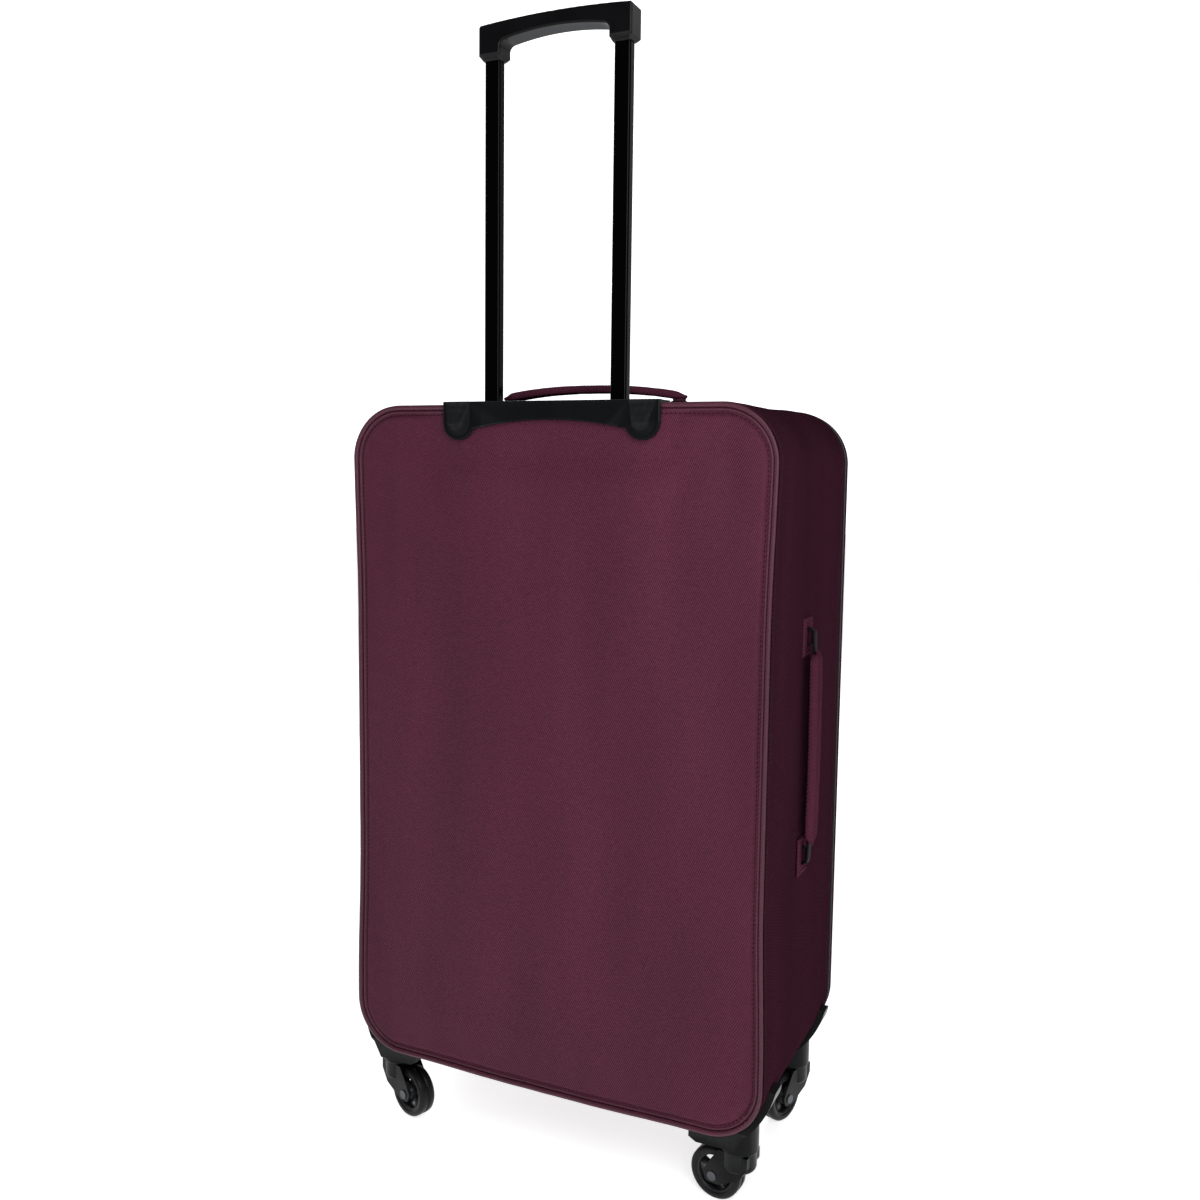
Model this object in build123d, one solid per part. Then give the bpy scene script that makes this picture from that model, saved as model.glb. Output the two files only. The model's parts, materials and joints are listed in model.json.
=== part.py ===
from build123d import *
import os
from math import cos, radians, sin, sqrt

# Softside upright suitcase with four swivel casters and a single-stage telescopic handle.
# Millimetres. +Z is up and the floor is z = 0. The back, which carries the telescopic
# handle, faces +Y; the zipped lid with its pocket faces -Y. Left and right are those of
# a person standing behind the case, so left is +X and right is -X.
# The case is drawn about its own middle plane and moved at the end, so that the origin
# is under the centre of the whole object.

# ---------------------------------------------------------------- driving dimensions
case_width = 430.0
case_depth = 246.0
case_height = 650.0
case_floor_gap = 76.0
corner_radius = 52.0

fabric = 1.6
piping_width = 5.0
lid_depth = 14.0
zip_gap = 0.4
zip_half_width = 5.0
pocket_depth = 15.0

tube_spacing = 128.0
tube_y = 109.6
inner_tube_x = 15.5
inner_tube_y = 10.5
inner_tube_wall = 1.0
outer_tube_wall = 1.2
tube_gap = 0.8
slide_clearance = 0.1
trolley_travel = 300.0
grip_width = 150.0
grip_block_width = 21.5
grip_depth = 22.0
grip_top_rise = 339.0
button_travel = 3.0

wheel_diameter = 50.0
wheel_width = 18.0
caster_trail = 21.0
kingpin_x = 185.0
kingpin_y = 90.0
front_kingpin_y = 84.0
running_clearance = 0.05

# ---------------------------------------------------------------- derived levels
half_width = case_width / 2
half_depth = case_depth / 2
case_bottom = case_floor_gap
case_top = case_bottom + case_height
case_mid = case_bottom + case_height / 2
corner_x = half_width - corner_radius
corner_z_low = case_bottom + corner_radius

zip_y = -half_depth + lid_depth
body_front_y = zip_y + zip_gap / 2 + zip_half_width
lid_edge_y = zip_y - zip_gap / 2 - zip_half_width
piping_back_y = half_depth - piping_width
piping_front_y = -piping_back_y
cover_sink = 1.6
cover_back_y = half_depth - cover_sink
board_back_y = cover_back_y - fabric - 0.1
board_thickness = 1.8
lining_back_y = 99.0
lining_inset = 10.0
lining_thickness = 1.0

outer_cavity_x = inner_tube_x + 2 * tube_gap
outer_cavity_y = inner_tube_y + 2 * tube_gap
outer_tube_x = outer_cavity_x + 2 * outer_tube_wall
outer_tube_y = outer_cavity_y + 2 * outer_tube_wall
outer_tube_bottom = case_bottom + 14.0
outer_tube_top = case_top - 4.0
plug_bottom = 408.0
plug_top = plug_bottom + 12.0
inner_tube_top = case_top + 324.0
lock_pin_z = plug_bottom + 5.0
lock_pin_radius = 2.0

hinge_run_low = case_bottom + 86.0
hinge_run_high = case_top - 86.0


# ---------------------------------------------------------------- shared shapes
def facing_front(y):
    """Plane at depth y, drawn in X and Z, whose extrusions run towards the front."""
    return Plane(origin=(0, y, 0), x_dir=(1, 0, 0), z_dir=(0, -1, 0))


def slab(inset, y_back, y_front):
    """Solid with the case's rounded outline, drawn in by inset, between two depths."""
    outline = RectangleRounded(
        case_width - 2 * inset, case_height - 2 * inset, max(corner_radius - inset, 2.0)
    )
    return extrude(facing_front(y_back) * Pos(0, case_mid) * outline, amount=y_back - y_front)


def ring(inset_out, inset_in, y_back, y_front):
    return slab(inset_out, y_back, y_front) - slab(inset_in, y_back + 1, y_front - 1)


def box_between(x0, x1, y0, y1, z0, z1):
    centre = Pos((x0 + x1) / 2, (y0 + y1) / 2, (z0 + z1) / 2)
    return centre * Box(abs(x1 - x0), abs(y1 - y0), abs(z1 - z0))


def rod_along(axis, radius, start, length):
    """Cylinder from start along an axis given as a unit direction."""
    return extrude(Plane(origin=start, z_dir=axis) * Circle(radius), amount=length)


def tube_bar(x, width, depth, radius, z0, z1):
    section = Plane.XY.offset(z0) * Pos(x, tube_y) * RectangleRounded(width, depth, radius)
    return extrude(section, amount=z1 - z0)


# ---------------------------------------------------------------- fabric body
def tube_slots():
    """Holes for the two inner tubes in whatever lies across the top of the case."""
    wide = inner_tube_x + 1.4
    deep = inner_tube_y + 1.4
    cuts = [
        tube_bar(side * tube_spacing / 2, wide, deep, 2.6, case_top - 8, case_top + 8)
        for side in (-1, 1)
    ]
    return cuts[0] + cuts[1]


def piping(y0, y1, round_y):
    """Fabric-covered cord round the case; round_y is the depth of its rounded face."""
    body = ring(0, piping_width, y1, y0)
    edges = body.edges().filter_by(lambda e: abs(e.center().Y - round_y) < 0.01)
    return fillet(edges, 2.2)


def gusset():
    body = ring(0, fabric, piping_back_y, body_front_y)
    return body - tube_slots()


def base_tray():
    body = ring(fabric + 0.2, fabric + 2.7, piping_back_y - 0.5, body_front_y + 3)
    keep = box_between(-half_width, half_width, -half_depth, half_depth, 0, corner_z_low + 8)
    return body & keep


def rim_wire():
    wire_y = body_front_y + 6
    body = ring(5.2, 8.8, wire_y + 3.6, wire_y)
    return fillet(body.edges(), 1.7)


def lining():
    outer = slab(lining_inset, lining_back_y, body_front_y + 5)
    inner = slab(
        lining_inset + lining_thickness, lining_back_y - lining_thickness, body_front_y
    )
    return outer - inner


def zip_half(y_back, y_front):
    """One zipper tape: it runs round three sides and stops at the hinge."""
    body = ring(0, fabric, y_back, y_front)
    gap = box_between(
        corner_x, half_width + 5, y_front - 1, y_back + 1, hinge_run_low, hinge_run_high
    )
    return body - gap


def hinge_fabric():
    return box_between(
        half_width - fabric,
        half_width,
        zip_y + zip_gap / 2,
        body_front_y,
        hinge_run_low + 0.3,
        hinge_run_high - 0.3,
    )


def tie_straps():
    """Two crossed packing straps on the back of the compartment and their buckle."""
    strap_y = lining_back_y - lining_thickness - 0.9
    bars = [
        Pos(0, strap_y, case_mid) * Rot(0, turn, 0) * Box(25, 1.4, 480) for turn in (-32, 32)
    ]
    buckle = Pos(0, strap_y - 2.3, case_mid) * Box(58, 6, 44)
    return bars[0] + bars[1] + fillet(buckle.edges().filter_by(Axis.Y), 8)


# ---------------------------------------------------------------- telescopic handle
bezel_half = 109.0
boss_radius = 16.5
boss_x = bezel_half - boss_radius
boss_z = case_top - 16.5
bump_radius = 12.6
bezel_inner_y = half_depth + 0.2
bezel_outer_y = bezel_inner_y + 4.0
bump_height = 7.0
bezel_top = case_top + 2.4
arch_apex_z = case_top - 14.8
arch_foot_z = case_top - 23.0
arch_foot_x = 78.0


def u_shape(x, radius):
    """Outline with a half-round foot at the boss centre and a straight top."""
    block = Pos(x, (boss_z + bezel_top) / 2) * Rectangle(2 * radius, bezel_top - boss_z)
    return block + Pos(x, boss_z) * Circle(radius)


def bezel_plate():
    crown = ThreePointArc((-arch_foot_x, arch_foot_z), (0, arch_apex_z), (arch_foot_x, arch_foot_z))
    sides = Polyline(
        (arch_foot_x, arch_foot_z),
        (arch_foot_x, bezel_top),
        (-arch_foot_x, bezel_top),
        (-arch_foot_x, arch_foot_z),
    )
    face = make_face(Curve() + [crown, sides])
    face = face + u_shape(boss_x, boss_radius) + u_shape(-boss_x, boss_radius)
    plate = extrude(facing_front(bezel_outer_y) * face, amount=bezel_outer_y - bezel_inner_y)
    outer = plate.edges().filter_by(lambda e: abs(e.center().Y - bezel_outer_y) < 0.01)
    return fillet(outer, 1.2)


def bezel_bump(side):
    """Rest stud on a boss: a ramp that rises from the top edge and turns back in."""
    blank = facing_front(bezel_outer_y) * u_shape(side * boss_x, bump_radius)
    stud = extrude(blank, amount=-bump_height, taper=42)
    slope = Polyline(
        (bezel_outer_y - 1, bezel_top),
        (bezel_outer_y, bezel_top),
        (bezel_outer_y + bump_height, boss_z - 2),
        (bezel_outer_y + bump_height, boss_z - 20),
        (bezel_outer_y - 1, boss_z - 20),
        close=True,
    )
    wedge = extrude(Plane.YZ.offset(side * boss_x) * make_face(slope), amount=20, both=True)
    return stud & wedge


def trolley_bezel():
    top = box_between(
        -bezel_half + 2, bezel_half - 2, tube_y - 12, bezel_inner_y + 1, case_top + 0.1, bezel_top
    )
    body = bezel_plate() + top + bezel_bump(-1) + bezel_bump(1)
    return body - tube_slots()


screw_head_radius = 3.4


def bezel_screw(side):
    x = side * boss_x
    head_y = board_back_y - board_thickness - 2.0
    shank = rod_along((0, 1, 0), 1.6, (x, head_y, boss_z), bezel_outer_y + 3 - head_y)
    return shank + rod_along((0, 1, 0), screw_head_radius, (x, head_y, boss_z), 1.9)


def outer_tube(side):
    x = side * tube_spacing / 2
    body = tube_bar(x, outer_tube_x, outer_tube_y, 2.6, outer_tube_bottom, outer_tube_top)
    bore = tube_bar(x, outer_cavity_x, outer_cavity_y, 1.6, outer_tube_bottom - 1, outer_tube_top + 1)
    body = body - bore
    for z in (lock_pin_z, lock_pin_z - trolley_travel):
        body = body - rod_along((side, 0, 0), lock_pin_radius + 0.4, (x, tube_y, z), 20)
    return body


def guide_bush(side):
    x = side * tube_spacing / 2
    z0 = outer_tube_top - 20
    body = tube_bar(x, outer_cavity_x, outer_cavity_y, 1.6, z0, outer_tube_top)
    bore = tube_bar(
        x,
        inner_tube_x + 2 * slide_clearance,
        inner_tube_y + 2 * slide_clearance,
        2.1,
        z0 - 1,
        outer_tube_top + 1,
    )
    return body - bore


def tube_foot_bracket():
    body = box_between(
        -82, 82, tube_y - 9.4, board_back_y - board_thickness, case_bottom + 4.6, case_bottom + 26
    )
    for side in (-1, 1):
        body = body - tube_bar(
            side * tube_spacing / 2, outer_tube_x, outer_tube_y, 2.6, outer_tube_bottom, 200
        )
    return body


def inner_tube(side):
    x = side * tube_spacing / 2
    body = tube_bar(x, inner_tube_x, inner_tube_y, 2.0, plug_top, inner_tube_top)
    bore = tube_bar(
        x,
        inner_tube_x - 2 * inner_tube_wall,
        inner_tube_y - 2 * inner_tube_wall,
        1.0,
        plug_top - 1,
        inner_tube_top + 1,
    )
    return body - bore


def tube_plug(side):
    """Sliding plug on the foot of an inner tube; it carries the lock pin."""
    x = side * tube_spacing / 2
    body = tube_bar(
        x,
        outer_cavity_x - 2 * slide_clearance,
        outer_cavity_y - 2 * slide_clearance,
        1.5,
        plug_bottom,
        plug_top,
    )
    spigot = tube_bar(
        x,
        inner_tube_x - 2 * inner_tube_wall,
        inner_tube_y - 2 * inner_tube_wall,
        1.0,
        plug_top,
        plug_top + 10,
    )
    body = body + spigot
    pin_bore = rod_along(
        (side, 0, 0), lock_pin_radius + running_clearance, (x - side * 5, tube_y, lock_pin_z), 20
    )
    rod_bore = rod_along((0, 0, 1), 1.9, (x, tube_y, lock_pin_z + 2.4), 30)
    return body - pin_bore - rod_bore


def lock_pin(side):
    tip_x = side * (tube_spacing / 2 + outer_cavity_x / 2 - slide_clearance)
    pin = rod_along((-side, 0, 0), lock_pin_radius, (tip_x, tube_y, lock_pin_z), 8.0)
    return chamfer(pin.edges().sort_by(Axis.X)[-1 if side > 0 else 0], 0.5)


grip_end_z = case_top + grip_top_rise - 3.2
grip_crown_z = case_top + grip_top_rise
grip_block_z = case_top + 309.5
grip_under_end_z = case_top + 320.5
grip_under_mid_z = case_top + 326.0
grip_block_inner = grip_width / 2 - grip_block_width
grip_collar_z = case_top + 306.0
insert_thickness = 1.5
yoke_low = case_top + 330.5
yoke_high = yoke_low + 3.0
cavity_low = yoke_low - button_travel - 0.4
cavity_half_y = 4.0


def grip_blank():
    half = grip_width / 2
    inner = grip_block_inner
    end_z = grip_end_z
    low_z = grip_block_z
    under_z = grip_under_end_z
    top = ThreePointArc((-half, end_z), (0, grip_crown_z), (half, end_z))
    right = Polyline((half, end_z), (half, low_z), (inner, low_z), (inner, under_z))
    under = ThreePointArc((inner, under_z), (0, grip_under_mid_z), (-inner, under_z))
    left = Polyline((-inner, under_z), (-inner, low_z), (-half, low_z), (-half, end_z))
    face = make_face(Curve() + [top, right, under, left])
    inside = face.vertices().filter_by(
        lambda v: abs(abs(v.X) - inner) < 0.01 and v.Y > grip_block_z + 1
    )
    face = fillet(inside, 6.0)
    outside = face.vertices().filter_by(lambda v: v.Y > grip_end_z - 0.01 and abs(v.X) > half - 0.01)
    face = chamfer(outside, 1.6)
    back = tube_y + grip_depth / 2
    return extrude(facing_front(back) * face, amount=grip_depth)


def grip_collar(side):
    """Tapered skirt from the grip's end block down to the tube."""
    x = side * tube_spacing / 2
    block_x = side * (grip_width / 2 - grip_block_width / 2)
    wide = grip_block_width - 0.1
    deep = grip_depth - 0.6
    lip = 2.4
    high = Plane.XY.offset(grip_block_z) * Pos(block_x, tube_y) * RectangleRounded(wide, deep, 2)
    low_face = RectangleRounded(inner_tube_x + lip, inner_tube_y + lip, 2)
    low = Plane.XY.offset(grip_collar_z) * Pos(x, tube_y) * low_face
    return loft([low.face(), high.face()])


def insert_band(extra):
    """The pad let into the underside of the bar, grown by extra for its recess."""
    half = grip_block_inner - 9
    low = grip_under_mid_z
    rise = (low - grip_under_end_z) * (half / grip_block_inner) ** 2
    lower = ThreePointArc((-half, low - rise), (0, low), (half, low - rise))
    upper = ThreePointArc(
        (half, low - rise + insert_thickness + extra),
        (0, low + insert_thickness + extra),
        (-half, low - rise + insert_thickness + extra),
    )
    ends = [
        Line((half, low - rise), (half, low - rise + insert_thickness + extra)),
        Line((-half, low - rise + insert_thickness + extra), (-half, low - rise)),
    ]
    face = make_face(Curve() + [lower, ends[0], upper, ends[1]])
    return extrude(facing_front(tube_y + 8) * face, amount=16)


button_length = 30.0
button_width = 9.0
button_clearance = 0.3


def grip_shell():
    blank = grip_blank()
    long_edges = blank.edges().filter_by(
        lambda e: abs(abs(e.center().Y - tube_y) - grip_depth / 2) < 0.01
    )
    body = fillet(long_edges, 2.0)
    body = body + grip_collar(-1) + grip_collar(1)
    for side in (-1, 1):
        x = side * tube_spacing / 2
        body = body - tube_bar(x, inner_tube_x, inner_tube_y, 2.0, grip_collar_z - 5, inner_tube_top)
        body = body - rod_along((0, 0, 1), 2.0, (x, tube_y, inner_tube_top - 1), 8)
    cavity = box_between(
        -70, 70, tube_y - cavity_half_y, tube_y + cavity_half_y, cavity_low, yoke_high + 0.4
    )
    slot = box_between(
        -button_length / 2 - button_clearance,
        button_length / 2 + button_clearance,
        tube_y - button_width / 2 - button_clearance,
        tube_y + button_width / 2 + button_clearance,
        cavity_low,
        grip_crown_z + 8,
    )
    return body - cavity - slot - insert_band(0)


def release_button():
    z0 = yoke_high
    body = box_between(
        -button_length / 2,
        button_length / 2,
        tube_y - button_width / 2,
        tube_y + button_width / 2,
        z0,
        grip_crown_z + 0.8,
    )
    return fillet(body.edges().filter_by(Axis.Z), 3.0)


def release_yoke():
    """Cross bar under the button with a rod down each inner tube."""
    body = box_between(-67, 67, tube_y - 2.5, tube_y + 2.5, yoke_low, yoke_high)
    rod_end = lock_pin_z + lock_pin_radius + button_travel + 1.0
    for side in (-1, 1):
        x = side * tube_spacing / 2
        body = body + rod_along((0, 0, 1), 1.5, (x, tube_y, rod_end), yoke_low + 1 - rod_end)
    return body


# ---------------------------------------------------------------- carry handles
anchor_thickness = 1.3
top_handle_y = 30.0
top_handle_half = 97.0
top_handle_width = 24.0
top_handle_crown = case_top + 21.0
top_handle_gap = 14.5
top_pin_z = case_top + 5.0
top_foot_x = 89.5
side_handle_y = 18.0
side_handle_mid = case_bottom + 338.0
side_handle_half = 93.0
side_handle_width = 22.0
side_pin_x = -half_width - 4.6
side_foot_z = 103.0
side_sleeve_near = -half_width - 7.5
side_sleeve_far = -half_width - 14.5
loop_half = 5.6
loop_radius = 3.0
loop_pin_radius = 1.5
lug_near = 6.2
lug_far = 8.6
patch_half = 18.0


def top_loop(side):
    """Webbing loop at one end of the top handle, wrapped round its anchor's pin."""
    x = side * top_foot_x
    start = (x - loop_half, top_handle_y, top_pin_z)
    body = rod_along((1, 0, 0), loop_radius, start, 2 * loop_half)
    neck = box_between(
        x - loop_half,
        x + loop_half,
        top_handle_y - loop_radius,
        top_handle_y + loop_radius,
        top_pin_z,
        case_top + 10.5,
    )
    bore = rod_along((1, 0, 0), loop_pin_radius + running_clearance, start, 2 * loop_half)
    return body + neck - bore


def top_carry_handle():
    under_z = case_top + 8.0
    end_z = case_top + 11.0
    half = top_handle_half
    outer = ThreePointArc((-half, end_z), (0, top_handle_crown), (half, end_z))
    right = Line((half, end_z), (half, under_z))
    inner = ThreePointArc((half, under_z), (0, case_top + top_handle_gap), (-half, under_z))
    left = Line((-half, under_z), (-half, end_z))
    face = make_face(Curve() + [outer, right, inner, left])
    body = extrude(facing_front(top_handle_y + top_handle_width / 2) * face, amount=top_handle_width)
    crown = body.edges().filter_by(lambda e: e.length > 150)
    body = fillet(crown, 1.2)
    return body + top_loop(-1) + top_loop(1)


def top_handle_anchor(side):
    """Stitched patch on the top of the case with two lugs and the pin between them."""
    x = side * top_foot_x
    patch = box_between(
        x - 11,
        x + 11,
        top_handle_y - 16,
        top_handle_y + 16,
        case_top,
        case_top + anchor_thickness,
    )
    pin = rod_along(
        (1, 0, 0), loop_pin_radius, (x - lug_far, top_handle_y, top_pin_z), 2 * lug_far
    )
    body = patch + pin
    for end in (-1, 1):
        body = body + box_between(
            x + end * lug_near,
            x + end * lug_far,
            top_handle_y - 1.8,
            top_handle_y + 1.8,
            case_top,
            top_pin_z + 2.2,
        )
    return body


def side_loop(end):
    """Webbing strap and loop that join one end of the side handle to its pin."""
    middle = side_foot_z * end
    start = (side_pin_x, side_handle_y, side_handle_mid + middle - loop_half)
    knuckle = rod_along((0, 0, 1), loop_radius, start, 2 * loop_half)
    inner = side_pin_x - loop_radius
    points = [
        (side_sleeve_near - 0.5, side_handle_half - 6),
        (inner, side_foot_z - loop_half),
        (side_pin_x, side_foot_z - loop_half),
        (side_pin_x, side_foot_z + loop_half),
        (inner, side_foot_z + loop_half),
        (side_sleeve_far + 3.5, side_handle_half + 4),
        (side_sleeve_far + 2.5, side_handle_half - 6),
    ]
    placed = [(x, side_handle_mid + end * z) for x, z in points]
    face = make_face(Polyline(*placed, close=True))
    strap = extrude(facing_front(side_handle_y + loop_radius) * face, amount=2 * loop_radius)
    bore = rod_along((0, 0, 1), loop_pin_radius + running_clearance, start, 2 * loop_half)
    return knuckle + strap - bore


def side_carry_handle():
    body = box_between(
        side_sleeve_far,
        side_sleeve_near,
        side_handle_y - side_handle_width / 2,
        side_handle_y + side_handle_width / 2,
        side_handle_mid - side_handle_half,
        side_handle_mid + side_handle_half,
    )
    body = fillet(body.edges().filter_by(Axis.Z), 2.0)
    return body + side_loop(-1) + side_loop(1)


def side_handle_anchor(end):
    """Stitched patch on the right wall with two lugs and the pin between them."""
    z = side_handle_mid + end * side_foot_z
    patch = box_between(
        -half_width - anchor_thickness,
        -half_width,
        side_handle_y - patch_half,
        side_handle_y + patch_half,
        z - patch_half,
        z + patch_half,
    )
    pin = rod_along(
        (0, 0, 1), loop_pin_radius, (side_pin_x, side_handle_y, z - lug_far), 2 * lug_far
    )
    body = patch + pin
    for tip in (-1, 1):
        body = body + box_between(
            side_pin_x - 2.2,
            -half_width,
            side_handle_y - 1.8,
            side_handle_y + 1.8,
            z + tip * lug_near,
            z + tip * lug_far,
        )
    return body


# ---------------------------------------------------------------- casters
corners = {
    "back_left": (1, 1, 162.0),
    "back_right": (-1, 1, -8.0),
    "front_left": (1, -1, 118.0),
    "front_right": (-1, -1, 70.0),
}
housing_thickness = 6.0
housing_foot = case_bottom - 10.0
boss_r = 17.5
boss_bottom = 53.0
strap_top = corner_z_low - 10.0
fork_top = boss_bottom - 0.2
fork_radius = 16.0
axle_z = wheel_diameter / 2
axle_radius = 3.0
kingpin_radius = 4.0
well_radius = wheel_diameter / 2 + 1.6
well_half = wheel_width / 2 + 1.0
leg_thickness = 3.4
housing_reach = 32.0
back_housing_edge = half_depth - 3.0 - kingpin_y
front_housing_edge = -body_front_y - 0.4 - front_kingpin_y


def housing_blank(edge):
    """Saddle that hugs the case's lower corner, drawn for the +X, +Y corner."""
    outer_r = corner_radius + housing_thickness
    lift = strap_top - corner_z_low
    tip_out = (corner_x + sqrt(outer_r**2 - lift**2), strap_top)
    tip_in = (corner_x + sqrt((corner_radius + 0.1) ** 2 - lift**2), strap_top)
    low_x = corner_x + 34.0
    low_z = corner_z_low - sqrt(outer_r**2 - 34.0**2)
    inner_x = half_width - 69.0
    outer_mid = (corner_x + outer_r * cos(radians(-28)), corner_z_low + outer_r * sin(radians(-28)))
    inner_mid = (
        corner_x + (corner_radius + 0.1) * cos(radians(-45)),
        corner_z_low + (corner_radius + 0.1) * sin(radians(-45)),
    )
    face = make_face(
        Curve()
        + [
            ThreePointArc(tip_out, outer_mid, (low_x, low_z)),
            Polyline(
                (low_x, low_z),
                (low_x - 8, housing_foot),
                (inner_x + 7, housing_foot),
                (inner_x, housing_foot + 4),
                (inner_x, case_bottom - 0.1),
                (corner_x, case_bottom - 0.1),
            ),
            ThreePointArc((corner_x, case_bottom - 0.1), inner_mid, tip_in),
            Line(tip_in, tip_out),
        ]
    )
    return extrude(facing_front(kingpin_y + edge) * face, amount=edge + housing_reach)


def housing(edge):
    """One corner's housing; edge is how far it reaches from the kingpin to the outside."""
    body = housing_blank(edge)
    outer = kingpin_y + edge
    inner = kingpin_y - housing_reach
    side_view = Polyline(
        (inner, 0),
        (outer, 0),
        (outer, case_bottom + 8),
        (kingpin_y + edge / 3, strap_top + 1),
        (kingpin_y - 8, strap_top + 1),
        (inner, case_bottom + 4),
        close=True,
    )
    body = body & extrude(Plane.YZ * make_face(side_view), amount=300)
    cup = rod_along((0, 0, 1), boss_r, (kingpin_x, kingpin_y, boss_bottom), 30)
    cup = fillet(cup.edges().sort_by(Axis.Z)[0], 2.0)
    body = body + (cup - slab(-0.1, 200, -200))
    return body - rod_along((0, 0, 1), kingpin_radius, (kingpin_x, kingpin_y, 0), kingpin_top)


kingpin_top = 72.0
kingpin_bottom = 47.0


def kingpin():
    shank = rod_along(
        (0, 0, 1), kingpin_radius, (kingpin_x, kingpin_y, kingpin_bottom), kingpin_top - kingpin_bottom
    )
    head = rod_along((0, 0, 1), 5.0, (kingpin_x, kingpin_y, kingpin_bottom), 1.7)
    return shank + head


def housing_screws():
    """Three screws through the tray and the fabric into one housing."""
    places = [(154, kingpin_y + 3), (154, kingpin_y - 18), (186, kingpin_y - 22)]
    solids = []
    for x, y in places:
        drop = x - corner_x
        arc = corner_radius - (sqrt(corner_radius**2 - drop**2) if drop > 0 else corner_radius)
        surface = case_bottom + arc
        head = rod_along((0, 0, 1), 3.6, (x, y, surface + 5.4), 2.0)
        solids.append(head + rod_along((0, 0, 1), 1.7, (x, y, surface - 4), 10))
    return solids


def fork():
    """Swivel fork at swivel angle zero, with the wheel trailing along +X."""
    x, y = kingpin_x, kingpin_y
    dome = rod_along((0, 0, 1), fork_radius, (x, y, axle_z + 9), fork_top - axle_z - 9)
    dome = fillet(dome.edges().sort_by(Axis.Z)[0], 5.0)
    axle_x = x + caster_trail
    leg_width = 2 * (well_half + leg_thickness)
    profile = Polyline(
        (x - fork_radius + 2, fork_top - 0.5),
        (x - fork_radius + 2, axle_z + 17),
        (x - 6, axle_z + 4),
        (axle_x - 6, axle_z - 6.5),
        (axle_x + 6, axle_z - 6.5),
        (axle_x + 9.5, axle_z + 2),
        (axle_x + 3, axle_z + 14),
        (x + fork_radius - 1, fork_top - 0.5),
        close=True,
    )
    face = make_face(profile)
    face = fillet(face.vertices().filter_by(lambda v: v.Y < axle_z + 17.5), 3.5)
    legs = extrude(facing_front(y + leg_width / 2) * face, amount=leg_width)
    body = dome + legs
    well = rod_along((0, -1, 0), well_radius, (axle_x, y + well_half, axle_z), 2 * well_half)
    below = box_between(x - 40, x + 60, y - well_half, y + well_half, 0, axle_z)
    body = body - well - below
    pin_hole = rod_along((0, 0, 1), kingpin_radius + running_clearance, (x, y, 30), 40)
    head_hole = rod_along((0, 0, 1), 5.2, (x, y, 30), kingpin_bottom + 1.9 - 30)
    axle_hole = rod_along((0, -1, 0), axle_radius, (axle_x, y + 30, axle_z), 60)
    return body - pin_hole - head_hole - axle_hole


def axle():
    half = well_half + leg_thickness
    pin = rod_along(
        (0, -1, 0), axle_radius, (kingpin_x + caster_trail, kingpin_y + half, axle_z), 2 * half
    )
    heads = []
    for side in (-1, 1):
        start = (kingpin_x + caster_trail, kingpin_y + side * half, axle_z)
        heads.append(rod_along((0, side, 0), 4.4, start, 1.0))
    return pin + heads[0] + heads[1]


spokes = 5


def wheel():
    centre_x = kingpin_x + caster_trail
    half = wheel_width / 2
    start = (centre_x, kingpin_y + half, axle_z)
    body = rod_along((0, -1, 0), wheel_diameter / 2, start, wheel_width)
    body = fillet(body.edges().filter_by(GeomType.CIRCLE), 3.0)
    for side in (-1, 1):
        face_start = (centre_x, kingpin_y + side * half, axle_z)
        recess = rod_along((0, -side, 0), 18.5, face_start, 6.0)
        hub = rod_along((0, -side, 0), 7.5, face_start, 6.0)
        body = body - (recess - hub)
    for index in range(spokes):
        turn = 360 / spokes * index
        reach = 13.2
        window = rod_along(
            (0, -1, 0),
            3.6,
            (
                centre_x + reach * cos(radians(turn)),
                kingpin_y + half + 1,
                axle_z + reach * sin(radians(turn)),
            ),
            wheel_width + 2,
        )
        body = body - window
    bore = rod_along(
        (0, -1, 0), axle_radius + running_clearance, (centre_x, kingpin_y + 20, axle_z), 40
    )
    return body - bore


def kingpin_depth(side_y):
    return kingpin_y if side_y > 0 else -front_kingpin_y


def at_corner(shape, side_x, side_y):
    """Copy a +X, +Y corner piece to another corner of the case."""
    if side_x < 0:
        shape = mirror(shape, about=Plane.YZ)
    if side_y < 0:
        shape = Pos(0, kingpin_y - front_kingpin_y, 0) * mirror(shape, about=Plane.XZ)
    return shape


def swivelled(shape, side_x, side_y, angle):
    """Put a caster's moving piece under its kingpin, turned to its rest angle."""
    to_pin = Pos(side_x * kingpin_x, kingpin_depth(side_y), 0)
    return to_pin * Rot(0, 0, angle) * Pos(-kingpin_x, -kingpin_y, 0) * shape


# ---------------------------------------------------------------- lid
def lid_cover():
    face = slab(piping_width, piping_front_y, -cover_back_y)
    edge = slab(0, lid_edge_y, piping_front_y)
    hollow = slab(fabric, lid_edge_y + 1, piping_front_y + 1.0)
    return face + edge - hollow


pocket_half = 165.0
pocket_low = case_bottom + 60.0
pocket_high = case_bottom + 430.0
pocket_face_y = -cover_back_y - pocket_depth
zip_strip_z = pocket_high - 34.0


def front_pocket():
    mid = (pocket_low + pocket_high) / 2
    outline = Pos(0, mid) * RectangleRounded(2 * pocket_half, pocket_high - pocket_low, 30)
    body = extrude(facing_front(-cover_back_y) * outline, amount=pocket_depth)
    rim = body.edges().filter_by(lambda e: abs(e.center().Y - pocket_face_y) < 0.01)
    return fillet(rim, 8.0)


def pocket_zip():
    return box_between(
        -pocket_half + 30,
        pocket_half - 30,
        pocket_face_y - 1.2,
        pocket_face_y,
        zip_strip_z - 6,
        zip_strip_z + 6,
    )


# ---------------------------------------------------------------- zip sliders
slider_length = 13.0
slider_width = 9.0
slider_height = 3.0
pull_length = 34.0
pull_width = 7.0
pull_thickness = 1.6
bail_radius = 1.0


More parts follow.
